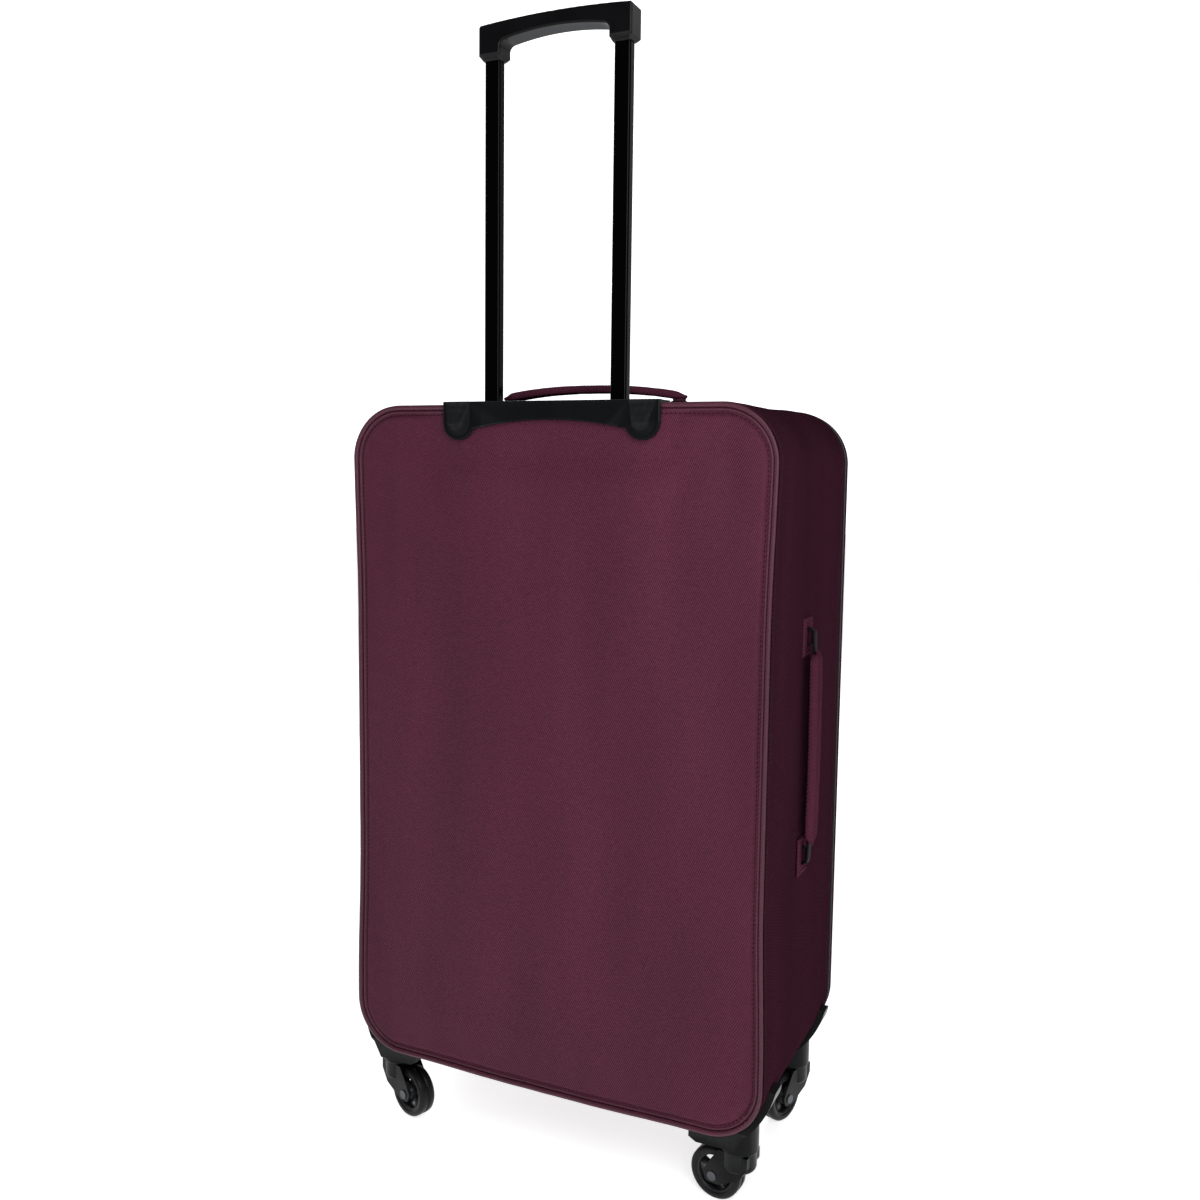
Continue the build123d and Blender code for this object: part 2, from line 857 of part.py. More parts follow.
def slider_blank():
    """Slider on the plane z = 0, running along X, with its bail eye; the pull hangs to -Y."""
    body = Pos(0, 0, slider_height / 2) * Box(slider_length, slider_width, slider_height)
    body = fillet(body.edges().filter_by(Axis.Z), 2.0)
    ears = []
    for side in (-1, 1):
        ears.append(Pos(0, side * 2.2, slider_height + 1.4) * Box(5.0, 1.4, 2.8))
    body = body + ears[0] + ears[1]
    bore = Pos(0, 0, slider_height + 1.5) * Rot(90, 0, 0) * Cylinder(bail_radius + 0.08, 8)
    return body - bore


def pull_blank():
    """Pull tab whose pin turns in the slider's eye; it hangs along +X."""
    pin = Pos(0, 0, slider_height + 1.5) * Rot(90, 0, 0) * Cylinder(bail_radius, 5.6)
    neck = Pos(3.4, 0, slider_height + 1.5) * Box(6.8, 2.2, pull_thickness)
    tab = Pos(5.5 + pull_length / 2, 0, slider_height + 1.5) * Box(pull_length, pull_width, pull_thickness)
    tab = fillet(tab.edges().filter_by(Axis.Z), 3.0)
    return pin + neck + tab


def on_top(shape, side):
    """Place a slider piece on the zip's top run, its pull lying outwards along the zip."""
    plane = Plane(
        origin=(side * main_slider_x, zip_y, case_top + slider_gap), x_dir=(side, 0, 0), z_dir=(0, 0, 1)
    )
    return plane.location * shape


def on_front(shape, x):
    """Place a slider piece on the pocket's zip: it slides along X, the pull hangs down."""
    plane = Plane(
        origin=(x, pocket_face_y - 1.5, zip_strip_z), x_dir=(0, 0, -1), z_dir=(0, -1, 0)
    )
    return plane.location * shape


main_slider_x = 42.0
slider_gap = 0.3
pocket_slider_x = -pocket_half + 48.0


# ---------------------------------------------------------------- assembly
def all_parts():
    parts = {}
    screws = [bezel_screw(-1), bezel_screw(1)]
    parts["bezel_screws"] = screws
    parts["back_cover"] = slab(piping_width, cover_back_y, cover_back_y - fabric)
    parts["back_board"] = slab(piping_width + 0.2, board_back_y, board_back_y - board_thickness)
    bezel = trolley_bezel()
    for screw in screws:
        parts["back_cover"] = parts["back_cover"] - screw
        parts["back_board"] = parts["back_board"] - screw
        bezel = bezel - screw
    parts["trolley_bezel"] = bezel
    parts["back_piping"] = piping(piping_back_y, half_depth, half_depth)
    parts["gusset_cover"] = gusset()
    parts["base_tray"] = base_tray()
    parts["rim_wire"] = rim_wire()
    parts["lining"] = lining()
    parts["body_zip_half"] = zip_half(body_front_y, zip_y + zip_gap / 2)
    parts["hinge_fabric"] = hinge_fabric()
    parts["tie_straps"] = tie_straps()
    parts["tube_foot_bracket"] = tube_foot_bracket()
    parts["guide_bushes"] = [guide_bush(-1), guide_bush(1)]
    parts["inner_tube_plugs"] = [tube_plug(-1), tube_plug(1)]
    for side, name in ((1, "left"), (-1, "right")):
        parts["outer_tube_" + name] = outer_tube(side)
        parts["inner_tube_" + name] = inner_tube(side)
        parts["lock_pin_" + name] = lock_pin(side)
    parts["grip_shell"] = grip_shell()
    parts["grip_insert"] = insert_band(0)
    parts["release_button"] = release_button()
    parts["release_yoke"] = release_yoke()
    parts["top_carry_handle"] = top_carry_handle()
    parts["top_handle_anchors"] = [top_handle_anchor(-1), top_handle_anchor(1)]
    parts["side_carry_handle"] = side_carry_handle()
    parts["side_handle_anchors"] = [side_handle_anchor(-1), side_handle_anchor(1)]

    shells = {1: housing(back_housing_edge), -1: housing(front_housing_edge)}
    pins = []
    screws = []
    for name, (side_x, side_y, angle) in corners.items():
        own_screws = [at_corner(s, side_x, side_y) for s in housing_screws()]
        body = at_corner(shells[side_y], side_x, side_y)
        for screw in own_screws:
            body = body - screw
            parts["gusset_cover"] = parts["gusset_cover"] - screw
            parts["base_tray"] = parts["base_tray"] - screw
        screws += own_screws
        parts["caster_housing_" + name] = body
        pins.append(at_corner(kingpin(), side_x, side_y))
        parts["caster_fork_" + name] = swivelled(fork(), side_x, side_y, angle)
        parts["caster_axle_" + name] = swivelled(axle(), side_x, side_y, angle)
        parts["wheel_" + name] = swivelled(wheel(), side_x, side_y, angle)
    parts["kingpins"] = pins
    parts["caster_screws"] = screws

    parts["lid_cover"] = lid_cover()
    parts["lid_board"] = slab(8, piping_front_y + 2.6, piping_front_y + 1.1)
    parts["lid_lining"] = slab(8, piping_front_y + 3.6, piping_front_y + 2.8)
    parts["lid_piping"] = piping(-half_depth, piping_front_y, -half_depth)
    parts["lid_zip_half"] = zip_half(zip_y - zip_gap / 2, lid_edge_y)
    parts["front_pocket"] = front_pocket()
    parts["pocket_zip"] = pocket_zip()

    for side, name in ((1, "left"), (-1, "right")):
        parts["main_slider_" + name] = on_top(slider_blank(), side)
        parts["main_pull_" + name] = on_top(pull_blank(), side)
    parts["pocket_slider"] = on_front(slider_blank(), pocket_slider_x)
    parts["pocket_pull"] = on_front(pull_blank(), pocket_slider_x)
    return parts


def solids_of(shape):
    pieces = shape if isinstance(shape, list) else [shape]
    return [solid for piece in pieces for solid in piece.solids()]


parts = {name: solids_of(shape) for name, shape in all_parts().items()}
whole = Compound([solid for solids in parts.values() for solid in solids]).bounding_box()
origin_shift = Pos(
    -(whole.min.X + whole.max.X) / 2, -(whole.min.Y + whole.max.Y) / 2, -whole.min.Z
)
os.makedirs("parts", exist_ok=True)
for name, solids in parts.items():
    moved = [origin_shift * solid for solid in solids]
    node = Compound(moved) if len(moved) > 1 else moved[0]
    export_step(node, "parts/" + name + ".step")
print("nodes", len(parts), "shift", origin_shift.position)
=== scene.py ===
import json
import math

import bmesh
import bpy
import numpy as np
from mathutils import Matrix, Vector, noise


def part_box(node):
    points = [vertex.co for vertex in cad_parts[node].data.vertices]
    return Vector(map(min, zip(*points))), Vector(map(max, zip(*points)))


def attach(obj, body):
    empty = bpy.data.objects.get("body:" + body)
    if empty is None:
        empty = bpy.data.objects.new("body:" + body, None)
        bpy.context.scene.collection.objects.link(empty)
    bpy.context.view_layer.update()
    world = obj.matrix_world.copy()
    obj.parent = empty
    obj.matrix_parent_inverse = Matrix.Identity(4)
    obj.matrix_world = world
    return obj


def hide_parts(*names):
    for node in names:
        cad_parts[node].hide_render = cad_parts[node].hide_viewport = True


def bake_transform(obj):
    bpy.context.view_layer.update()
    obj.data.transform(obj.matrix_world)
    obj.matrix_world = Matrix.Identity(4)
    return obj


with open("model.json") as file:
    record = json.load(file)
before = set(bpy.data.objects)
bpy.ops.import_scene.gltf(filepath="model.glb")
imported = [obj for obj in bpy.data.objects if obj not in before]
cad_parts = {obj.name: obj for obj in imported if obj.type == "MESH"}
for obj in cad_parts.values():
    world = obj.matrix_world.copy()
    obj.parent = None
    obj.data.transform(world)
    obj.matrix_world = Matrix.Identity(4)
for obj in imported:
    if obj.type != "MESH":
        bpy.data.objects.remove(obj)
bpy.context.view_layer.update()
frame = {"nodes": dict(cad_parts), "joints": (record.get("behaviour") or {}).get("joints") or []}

# Softside upright suitcase seen from behind and to its right. Metres, in the row frame.
# Shapes are drawn about the case's own middle plane and moved by ORIGIN.

# ---------------------------------------------------------------- places from the frame
wall_lo, wall_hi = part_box("gusset_cover")
back_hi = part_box("back_piping")[1]
front_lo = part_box("lid_piping")[0]
ORIGIN = np.array([(wall_lo.x + wall_hi.x) / 2, (back_hi.y + front_lo.y) / 2, 0.0])
HALF_X = (wall_hi.x - wall_lo.x) / 2
HALF_Y = (back_hi.y - front_lo.y) / 2
BOTTOM = wall_lo.z
TOP = wall_hi.z
MID_Z = (TOP + BOTTOM) / 2
HALF_Z = (TOP - BOTTOM) / 2
CORNER = 0.052
WALL_FRONT = wall_lo.y - ORIGIN[1]
PANEL_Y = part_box("back_cover")[1].y - ORIGIN[1]
LID_PANEL_Y = -PANEL_Y
LID_EDGE_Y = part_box("lid_cover")[1].y - ORIGIN[1]
ZIP_Y = (WALL_FRONT + LID_EDGE_Y) / 2
hinge_lo, hinge_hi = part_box("hinge_fabric")
MM = 0.001


def smoothstep(a, b, x):
    t = np.clip((np.asarray(x, float) - a) / (b - a), 0, 1)
    return t * t * (3 - 2 * t)


def waves(points, scale, seed):
    """Smooth noise, about -1 to 1, whose lumps are scale metres across."""
    offset = Vector((seed * 3.1, seed * 7.7, seed * 1.3))
    if np.isscalar(scale):
        scale = (scale,) * 3
    return np.array(
        [noise.noise(Vector((p[0] / scale[0], p[1] / scale[1], p[2] / scale[2])) + offset) for p in points]
    )


# ---------------------------------------------------------------- materials
def linear(r, g, b):
    """sRGB 0 to 255 to a linear colour."""
    out = []
    for v in (r, g, b):
        v = v / 255
        out.append(v / 12.92 if v <= 0.04045 else ((v + 0.055) / 1.055) ** 2.4)
    return (*out, 1.0)


class Finish:
    """A Principled material and short ways to add nodes to it."""

    def __init__(self, name, roughness=0.5, metallic=0.0, specular=0.5):
        self.material = bpy.data.materials.new(name)
        self.material.use_nodes = True
        self.tree = self.material.node_tree
        self.shader = self.tree.nodes["Principled BSDF"]
        self.shader.inputs["Roughness"].default_value = roughness
        self.shader.inputs["Metallic"].default_value = metallic
        self.shader.inputs["Specular IOR Level"].default_value = specular
        self.coordinate = self.add("ShaderNodeTexCoord").outputs["Object"]

    def add(self, kind, **settings):
        node = self.tree.nodes.new(kind)
        for key, value in settings.items():
            setattr(node, key, value)
        return node

    def feed(self, node, **values):
        """Set or link sockets by name; underscores stand for spaces."""
        for key, value in values.items():
            numbered = key[0] == "i" and key[1:].isdigit()
            socket = node.inputs[int(key[1:]) if numbered else key.replace("_", " ")]
            if isinstance(value, bpy.types.NodeSocket):
                self.tree.links.new(value, socket)
            else:
                socket.default_value = value
        return node

    def maths(self, operation, a, b=0.0):
        return self.feed(self.add("ShaderNodeMath", operation=operation), i0=a, i1=b).outputs[0]

    def noise(self, scale, detail=3.0, rough=0.5, stretch=None):
        source = self.coordinate
        if stretch:
            mapping = self.feed(self.add("ShaderNodeMapping"), Vector=source, Scale=stretch)
            source = mapping.outputs[0]
        node = self.add("ShaderNodeTexNoise")
        self.feed(node, Vector=source, Scale=scale, Detail=detail, Roughness=rough)
        return node.outputs["Fac"]

    def stripes(self, direction, pitch):
        """0 to 1 sine stripes across a direction, pitch metres apart."""
        length = math.sqrt(sum(c * c for c in direction))
        k = [c / length * 2 * math.pi / pitch for c in direction]
        dot = self.feed(self.add("ShaderNodeVectorMath", operation="DOT_PRODUCT"), i0=self.coordinate, i1=k)
        wave = self.maths("SINE", dot.outputs["Value"])
        return self.maths("ADD", self.maths("MULTIPLY", wave, 0.5), 0.5)

    def ramp(self, factor, stops):
        node = self.feed(self.add("ShaderNodeValToRGB"), Fac=factor)
        elements = node.color_ramp.elements
        while len(elements) < len(stops):
            elements.new(0.5)
        for element, (place, colour) in zip(elements, stops):
            element.position = place
            element.color = colour
        return node.outputs["Color"]

    def mix(self, factor, a, b, blend="MIX"):
        node = self.add("ShaderNodeMix", data_type="RGBA", blend_type=blend)
        self.feed(node, i0=factor, i6=a, i7=b)
        return node.outputs[2]

    def colour(self, value):
        self.feed(self.shader, Base_Color=value)

    def rough(self, factor, low, high):
        scaled = self.maths("ADD", self.maths("MULTIPLY", factor, high - low), low)
        self.feed(self.shader, Roughness=scaled)

    def bump(self, *layers):
        """Layers of (height, strength, distance in metres)."""
        normal = None
        for height, strength, distance in layers:
            node = self.feed(self.add("ShaderNodeBump"), Height=height, Strength=strength, Distance=distance)
            if normal is not None:
                self.feed(node, Normal=normal)
            normal = node.outputs["Normal"]
        self.feed(self.shader, Normal=normal)


def scaled(colour, factor, lift=0.0):
    return tuple(min(1, c * factor + lift) for c in colour[:3]) + (1,)


def twill(name, dark, light, sheen, pitch=1.6 * MM, roughness=0.62, specular=0.2):
    """Polyester twill: diagonal ribs crossed by finer threads, with soft uneven lustre."""
    f = Finish(name, roughness=roughness, specular=specular)
    ribs = f.stripes((1, 1, 0.45), pitch)
    threads = f.stripes((0.35, 0.35, -1), pitch * 0.95)
    weave = f.maths("MULTIPLY", ribs, f.maths("ADD", f.maths("MULTIPLY", threads, 0.9), 0.1))
    slubs = f.noise(900.0, 2.0, 0.6, (0.25, 0.25, 1.0))
    cloud = f.noise(9.0, 2.0, 0.5, (1.6, 1.6, 0.35))
    mottled = f.maths("ADD", f.maths("MULTIPLY", weave, 1.0), f.maths("MULTIPLY", slubs, 0.45))
    body = f.mix(mottled, dark, light)
    shade = f.ramp(cloud, [(0.3, (0.86, 0.86, 0.88, 1)), (0.7, (1.12, 1.1, 1.1, 1))])
    f.colour(f.mix(1.0, body, shade, "MULTIPLY"))
    f.rough(slubs, roughness - 0.1, roughness + 0.12)
    f.bump((weave, 0.5, 0.25 * MM), (slubs, 0.25, 0.1 * MM))
    f.shader.inputs["Sheen Weight"].default_value = sheen
    f.shader.inputs["Sheen Roughness"].default_value = 0.4
    f.shader.inputs["Sheen Tint"].default_value = linear(200, 120, 165)
    return f.material


def moulded(name, base, roughness, grain=1400.0, wear=0.5, specular=0.5):
    """Moulded plastic: fine spark-eroded grain, faint clouds and edges rubbed paler."""
    f = Finish(name, roughness=roughness, specular=specular)
    fine = f.noise(grain, 2.0, 0.6)
    cloud = f.noise(35.0, 4.0, 0.6)
    scuff = f.noise(260.0, 5.0, 0.7, (1.0, 1.0, 0.12))
    tone = f.ramp(cloud, [(0.35, scaled(base, 0.8)), (0.65, scaled(base, 1.25))])
    edges = f.add("ShaderNodeNewGeometry").outputs["Pointiness"]
    worn = f.ramp(edges, [(0.51, (0, 0, 0, 1)), (0.58, (1, 1, 1, 1))])
    factor = f.maths("MULTIPLY", f.maths("MULTIPLY", worn, scuff), wear)
    f.colour(f.mix(factor, tone, scaled(base, 5, 0.045)))
    uneven = f.maths("ADD", f.maths("MULTIPLY", cloud, 0.6), f.maths("MULTIPLY", scuff, 0.4))
    f.rough(uneven, roughness - 0.09, roughness + 0.12)
    f.bump((fine, 0.22, 0.08 * MM), (scuff, 0.08, 0.05 * MM))
    return f.material


def gloss(name, base, roughness=0.16, metallic=0.0, specular=0.6):
    """Smooth painted or plated metal with fine scratches along its length."""
    f = Finish(name, roughness=roughness, metallic=metallic, specular=specular)
    scratches = f.noise(1100.0, 4.0, 0.7, (1.0, 1.0, 0.02))
    dust = f.noise(60.0, 5.0, 0.65)
    f.colour(f.ramp(dust, [(0.35, scaled(base, 0.85)), (0.7, scaled(base, 1.2))]))
    uneven = f.maths("ADD", f.maths("MULTIPLY", scratches, 0.5), f.maths("MULTIPLY", dust, 0.5))
    f.rough(uneven, roughness - 0.07, roughness + 0.12)
    f.bump((scratches, 0.1, 0.03 * MM))
    return f.material


def ribbed(name, dark, light, direction, pitch, roughness=0.7):
    """Woven webbing or zip tape with ribs across one direction."""
    f = Finish(name, roughness=roughness, specular=0.08)
    ribs = f.stripes(direction, pitch)
    fine = f.stripes((1, 1, -1), pitch * 0.45)
    fuzz = f.noise(1500.0, 3.0, 0.7)
    weave = f.maths("ADD", f.maths("MULTIPLY", ribs, 0.6), f.maths("MULTIPLY", fine, 0.4))
    f.colour(f.mix(f.maths("MULTIPLY", weave, f.maths("ADD", fuzz, 0.4)), dark, light))
    f.bump((weave, 0.6, 0.2 * MM), (fuzz, 0.3, 0.08 * MM))
    return f.material


body_fabric = twill("plum_twill", linear(25, 5, 13), linear(106, 49, 71), 0.04, 1.25 * MM, specular=0.1)
# Side walls, lid band and hinge: a darker copy of the plum twill, painted shade for walls that face away from
# the light.
shaded_wall_fabric = twill("plum_twill_wall_painted_shade", linear(24, 9, 15), linear(72, 37, 51), 0.0, 1.25 * MM, specular=0.0)
piping_fabric = twill("plum_piping", linear(32, 8, 19), linear(100, 46, 66), 0.0, 1.1 * MM, 0.40, 0.3)
handle_fabric = twill("plum_handle", linear(30, 10, 19), linear(104, 54, 73), 0.0, 1.2 * MM, 0.62, 0.0)
lining_fabric = twill("lining_polyester", linear(92, 92, 96), linear(142, 142, 146), 0.15, 1.4 * MM, 0.6)
thread = ribbed("stitch_thread", linear(22, 6, 13), linear(52, 22, 36), (1, 1, 1), 0.35 * MM, 0.6)
handle_thread = ribbed("handle_thread", linear(50, 20, 34), linear(120, 66, 88), (1, 1, 1), 0.35 * MM, 0.6)
tape_fabric = ribbed("zip_tape_fabric", linear(14, 10, 13), linear(38, 28, 34), (1, 0.2, 1), 1.0 * MM, 0.75)
coil_nylon = moulded("zip_coil_nylon", linear(24, 20, 24), 0.38, 2200.0, 0.3)
strap_webbing = ribbed("webbing_ribs", linear(18, 14, 17), linear(52, 44, 50), (0.3, 0, 1), 1.3 * MM)
# Dark webbing for the handle straps and loops; the same material makes the painted shadow strip under the side
# handle.
dark_webbing_and_shadow = ribbed("dark_webbing_and_shadow", linear(7, 4, 6), linear(26, 13, 19), (1, 1, 0.6), 1.1 * MM)
board = moulded("fibre_board", linear(44, 32, 34), 0.85, 500.0, 0.1, 0.2)
black_plastic = moulded("black_moulding", linear(6, 7, 9), 0.42, specular=0.1)
grip_plastic = moulded("grip_moulding", linear(6, 6, 8), 0.36, specular=0.14)
grip_rubber = moulded("grip_pad_rubber", linear(26, 29, 34), 0.55, 900.0, 0.2, 0.2)
nylon = moulded("white_nylon", linear(196, 194, 186), 0.4, 1500.0, 0.1)
tube_gloss = gloss("black_tube_gloss", linear(1, 1, 1), 0.12, specular=0.06)
tube_metal = gloss("outer_tube_metal", linear(150, 152, 156), 0.34, 0.9)
steel = gloss("plated_steel", linear(176, 178, 182), 0.28, 1.0)
axle_steel = gloss("blackened_steel", linear(84, 85, 90), 0.36, 0.9)
slider_metal = gloss("zip_slider_metal", linear(44, 43, 48), 0.25, 0.9)
caster_plastic = moulded("caster_moulding", linear(5, 6, 7), 0.33, 1700.0, 0.4, 0.12)
tyre_rubber = moulded("tyre_polyurethane", linear(9, 10, 12), 0.38, 1200.0, 0.35, 0.15)
hub_plastic = moulded("hub_moulding", linear(14, 15, 18), 0.3, 1700.0, 0.5, 0.2)


# ---------------------------------------------------------------- mesh helpers
def outline(inset):
    """Points (x, z) and outward normals round the case's rounded outline, drawn in by inset.

    They start at the middle of the +X side and go up, so two insets pair point by point."""
    half_x = HALF_X - inset
    half_z = HALF_Z - inset
    r = min(max(CORNER - inset, 0.0004), half_x)
    cx, cz = half_x - r, half_z - r
    side, corner, top = 78, 24, 93
    points, normals = [], []

    def run(x0, z0, x1, z1, n, normal):
        for k in range(n):
            t = k / n
            points.append((x0 + (x1 - x0) * t, z0 + (z1 - z0) * t))
            normals.append(normal)

    def arc(x, z, start):
        for k in range(corner):
            a = math.radians(start + 90 * k / corner)
            points.append((x + r * math.cos(a), z + r * math.sin(a)))
            normals.append((math.cos(a), math.sin(a)))

    run(half_x, 0, half_x, cz, side, (1, 0))
    arc(cx, cz, 0)
    run(cx, half_z, -cx, half_z, top, (0, 1))
    arc(-cx, cz, 90)
    run(-half_x, cz, -half_x, -cz, 2 * side, (-1, 0))
    arc(-cx, -cz, 180)
    run(-cx, -half_z, cx, -half_z, top, (0, -1))
    arc(cx, -cz, 270)
    run(half_x, -cz, half_x, 0, side, (1, 0))
    points = np.array(points)
    points[:, 1] += MID_Z
    return points, np.array(normals)


AROUND = len(outline(0.0)[0])


def ring_at(inset, y):
    """The outline as points at depth y, and its outward normals."""
    ring, normals = outline(inset)
    points = np.column_stack([ring[:, 0], np.full(AROUND, y), ring[:, 1]])
    return points, np.column_stack([normals[:, 0], np.zeros(AROUND), normals[:, 1]])


def sweep(profile):
    """Rings at each (inset, y) of a profile, stacked, with their normals."""
    rings = [ring_at(inset, y) for inset, y in profile]
    return np.vstack([ring for ring, _ in rings]), np.vstack([normals for _, normals in rings])


def box_of(node):
    """A node's lowest and highest corners about the case's own middle."""
    return (np.array(c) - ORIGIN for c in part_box(node))


def warp(p):
    """Where the soft shell really stands: its back edges draw in at mid-height and its base sags."""
    x, y, z = p[:, 0], p[:, 1], p[:, 2]
    rise = smoothstep(BOTTOM + 0.062, BOTTOM + 0.22, z) * smoothstep(TOP - 0.03, TOP - 0.2, z)
    draw = 3.6 * MM * rise * smoothstep(-0.03, 0.118, y)
    bulge = 1.6 * MM * smoothstep(BOTTOM + 0.06, BOTTOM + 0.16, z) * smoothstep(BOTTOM + 0.4, BOTTOM + 0.2, z)
    bulge = bulge * smoothstep(0.06, -0.03, y) * smoothstep(-0.095, -0.06, y)
    sag = 1.8 * MM * smoothstep(0.142, 0.04, np.abs(x)) * smoothstep(BOTTOM + 0.06, BOTTOM, z)
    out = p.copy()
    out[:, 0] = x + x / HALF_X * (bulge - draw)
    out[:, 2] = z - sag
    return out


def link(name, verts, faces, material):
    mesh = bpy.data.meshes.new(name)
    mesh.from_pydata((np.asarray(verts, float) + ORIGIN).tolist(), [], [list(map(int, f)) for f in faces])
    mesh.validate()
    bm = bmesh.new()
    bm.from_mesh(mesh)
    bmesh.ops.remove_doubles(bm, verts=bm.verts, dist=2e-6)
    bmesh.ops.dissolve_degenerate(bm, edges=bm.edges, dist=1e-7)
    bmesh.ops.recalc_face_normals(bm, faces=bm.faces)
    bm.to_mesh(mesh)
    bm.free()
    mesh.materials.append(material)
    mesh.polygons.foreach_set("use_smooth", [True] * len(mesh.polygons))
    obj = bpy.data.objects.new(name, mesh)
    bpy.context.scene.collection.objects.link(obj)
    return obj


def place(obj, body, slot, *nodes):
    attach(obj, body)
    if nodes:
        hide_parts(*nodes)
    return obj


def add_piece(name, mesh, material, body, slot, *nodes):
    """Make a piece of (verts, faces), ride it on a body and let it stand for the nodes named."""
    return place(link(name, *mesh, material), body, slot, *nodes)


def gather(meshes):
    """Several meshes of (verts, faces) as one."""
    all_verts, all_faces, base = [], [], 0
    for verts, faces in meshes:
        all_verts.append(verts)
        all_faces += [tuple(v + base for v in f) for f in faces]
        base += len(verts)
    return np.vstack(all_verts), all_faces


def bake_modifiers(obj):
    """Turn an object's modifiers into its mesh."""
    graph = bpy.context.evaluated_depsgraph_get()
    mesh = bpy.data.meshes.new_from_object(obj.evaluated_get(graph))
    obj.modifiers.clear()
    obj.data = mesh
    return obj


def grid_faces(rows, columns, wrap_rows=False, wrap_columns=True, skip=None):
    faces = []
    for i in range(rows if wrap_rows else rows - 1):
        for j in range(columns if wrap_columns else columns - 1):
            if skip is not None and (skip[j] or skip[(j + 1) % columns]):
                continue
            row, after = i * columns, ((i + 1) % rows) * columns
            beside = (j + 1) % columns
            faces.append((row + j, row + beside, after + beside, after + j))
    return faces


def caps(rows, count):
    """The two end faces of a swept grid."""
    return [tuple(range(count)), tuple(range((rows - 1) * count, rows * count))[::-1]]


def shell(points, directions, thickness, faces, folded=0):
    """Two skins thickness apart and the rims between them, from a grid of points.

    The last folded points meet each other on a line, so they get no rim."""
    inner = points - directions * thickness
    count = len(points)
    skins = [tuple(f) for f in faces] + [tuple(v + count for v in reversed(f)) for f in faces]
    edges = {}
    for f in faces:
        for a, b in zip(f, f[1:] + f[:1]):
            key = (min(a, b), max(a, b))
            edges[key] = None if key in edges else (a, b)
    free = [pair for pair in edges.values() if pair and min(pair) < count - folded]
    rims = [(b, a, a + count, b + count) for a, b in free]
    return np.vstack([points, inner]), skins + rims


def scatter(template, faces, centres, along, up):
    """Copies of a small template, its X laid along and its Z laid up at each centre."""
    template = np.asarray(template, float)
    side = np.cross(up, along)
    side /= np.linalg.norm(side, axis=1)[:, None] + 1e-12
    above = np.cross(along, side)
    verts, out = [], []
    for k, centre in enumerate(centres):
        flat = template[:, :1] * along[k] + template[:, 1:2] * side[k]
        verts.append(centre + flat + template[:, 2:3] * above[k])
        out += [tuple(v + k * len(template) for v in f) for f in faces]
    return np.vstack(verts), out


def bead(length, width, height, rounds=6, bulge=0.62):
    """A small capsule along X: a stitch, or one turn of a zip's coil."""
    verts = [(-length / 2, 0, 0)]
    for x, r in ((-length * 0.38, bulge), (0.0, 1.0), (length * 0.38, bulge)):
        for k in range(rounds):
            a = 2 * math.pi * k / rounds
            verts.append((x, r * width / 2 * math.cos(a), r * height / 2 * math.sin(a)))
    verts.append((length / 2, 0, 0))
    last = len(verts) - 1
    faces = [(0, 1 + (k + 1) % rounds, 1 + k) for k in range(rounds)]
    for ring in range(2):
        base = 1 + ring * rounds
        faces += [
            (base + k, base + (k + 1) % rounds, base + rounds + (k + 1) % rounds, base + rounds + k)
            for k in range(rounds)
        ]
    base = 1 + 2 * rounds
    faces += [(base + k, base + (k + 1) % rounds, last) for k in range(rounds)]
    return verts, faces


def resample(path, spacing, start=0.0, closed=False):
    """Even points along a polyline, with their directions."""
    path = np.asarray(path, float)
    if closed:
        path = np.vstack([path, path[:1]])
    steps = np.linalg.norm(np.diff(path, axis=0), axis=1)
    total = np.concatenate([[0], np.cumsum(steps)])
    places = np.arange(start + spacing / 2, total[-1], spacing)
    points = np.column_stack([np.interp(places, total, path[:, i]) for i in range(3)])
    later = np.minimum(places + spacing * 0.2, total[-1])
    earlier = np.maximum(places - spacing * 0.2, 0)
    ahead = np.column_stack([np.interp(later, total, path[:, i]) for i in range(3)])
    behind = np.column_stack([np.interp(earlier, total, path[:, i]) for i in range(3)])
    along = ahead - behind
    return points, along / (np.linalg.norm(along, axis=1)[:, None] + 1e-12)


def stitches(
    name, paths, up, body, slot, material, spacing=3.6 * MM, length=2.9 * MM, size=0.75 * MM, closed=False
):
    """Rows of raised stitches along paths; up is one direction, or a function of the points."""
    rows = []
    template, template_faces = bead(length, size, size * 0.8)
    for path in paths:
        centres, along = resample(path, spacing, closed=closed)
        direction = up(centres) if callable(up) else np.tile(np.array(up, float), (len(centres), 1))
        rows.append(scatter(template, template_faces, centres, along, direction))
    return add_piece(name, gather(rows), material, body, slot)


def strap_mesh(path, widths, thickness, across, bow=0.0, rounds=5):
    """A soft flat strap: a rounded flat section swept along a path; across is its width direction."""
    path = np.asarray(path, float)
    across = np.asarray(across, float)
    n = len(path)
    widths = np.broadcast_to(np.asarray(widths, float), (n,))
    thickness = np.broadcast_to(np.asarray(thickness, float), (n,))
    tangent = np.gradient(path, axis=0)
    tangent /= np.linalg.norm(tangent, axis=1)[:, None]
    up = np.cross(tangent, across)
    up /= np.linalg.norm(up, axis=1)[:, None] + 1e-12
    flat = 8
    level = [(1 - 2 * k / flat, 1.0) for k in range(flat + 1)]
    turn = [math.cos(math.pi * k / rounds) for k in range(1, rounds)]
    section = level + [(-1.0, c) for c in turn] + [(-x, -h) for x, h in level] + [(1.0, -c) for c in turn]
    section = np.array(section)
    ends = np.sign(section[:, 0]) * 0.6 * np.sqrt(np.clip(1 - section[:, 1] ** 2, 0, 1))
    verts = []
    for i in range(n):
        w, t = widths[i] / 2, thickness[i] / 2
        s = section[:, 0] * (w - t * 0.6) + t * ends
        h = section[:, 1] * t * (1 + bow * (1 - section[:, 0] ** 2))
        verts.append(path[i] + s[:, None] * across + h[:, None] * up[i])
    count = len(section)
    return np.vstack(verts), grid_faces(n, count) + caps(n, count)


# ---------------------------------------------------------------- back panel
FLANGE = 9.0 * MM
# how near the rings come to the middle of a panel, where they all but close
PINHOLE = 0.0005 * MM


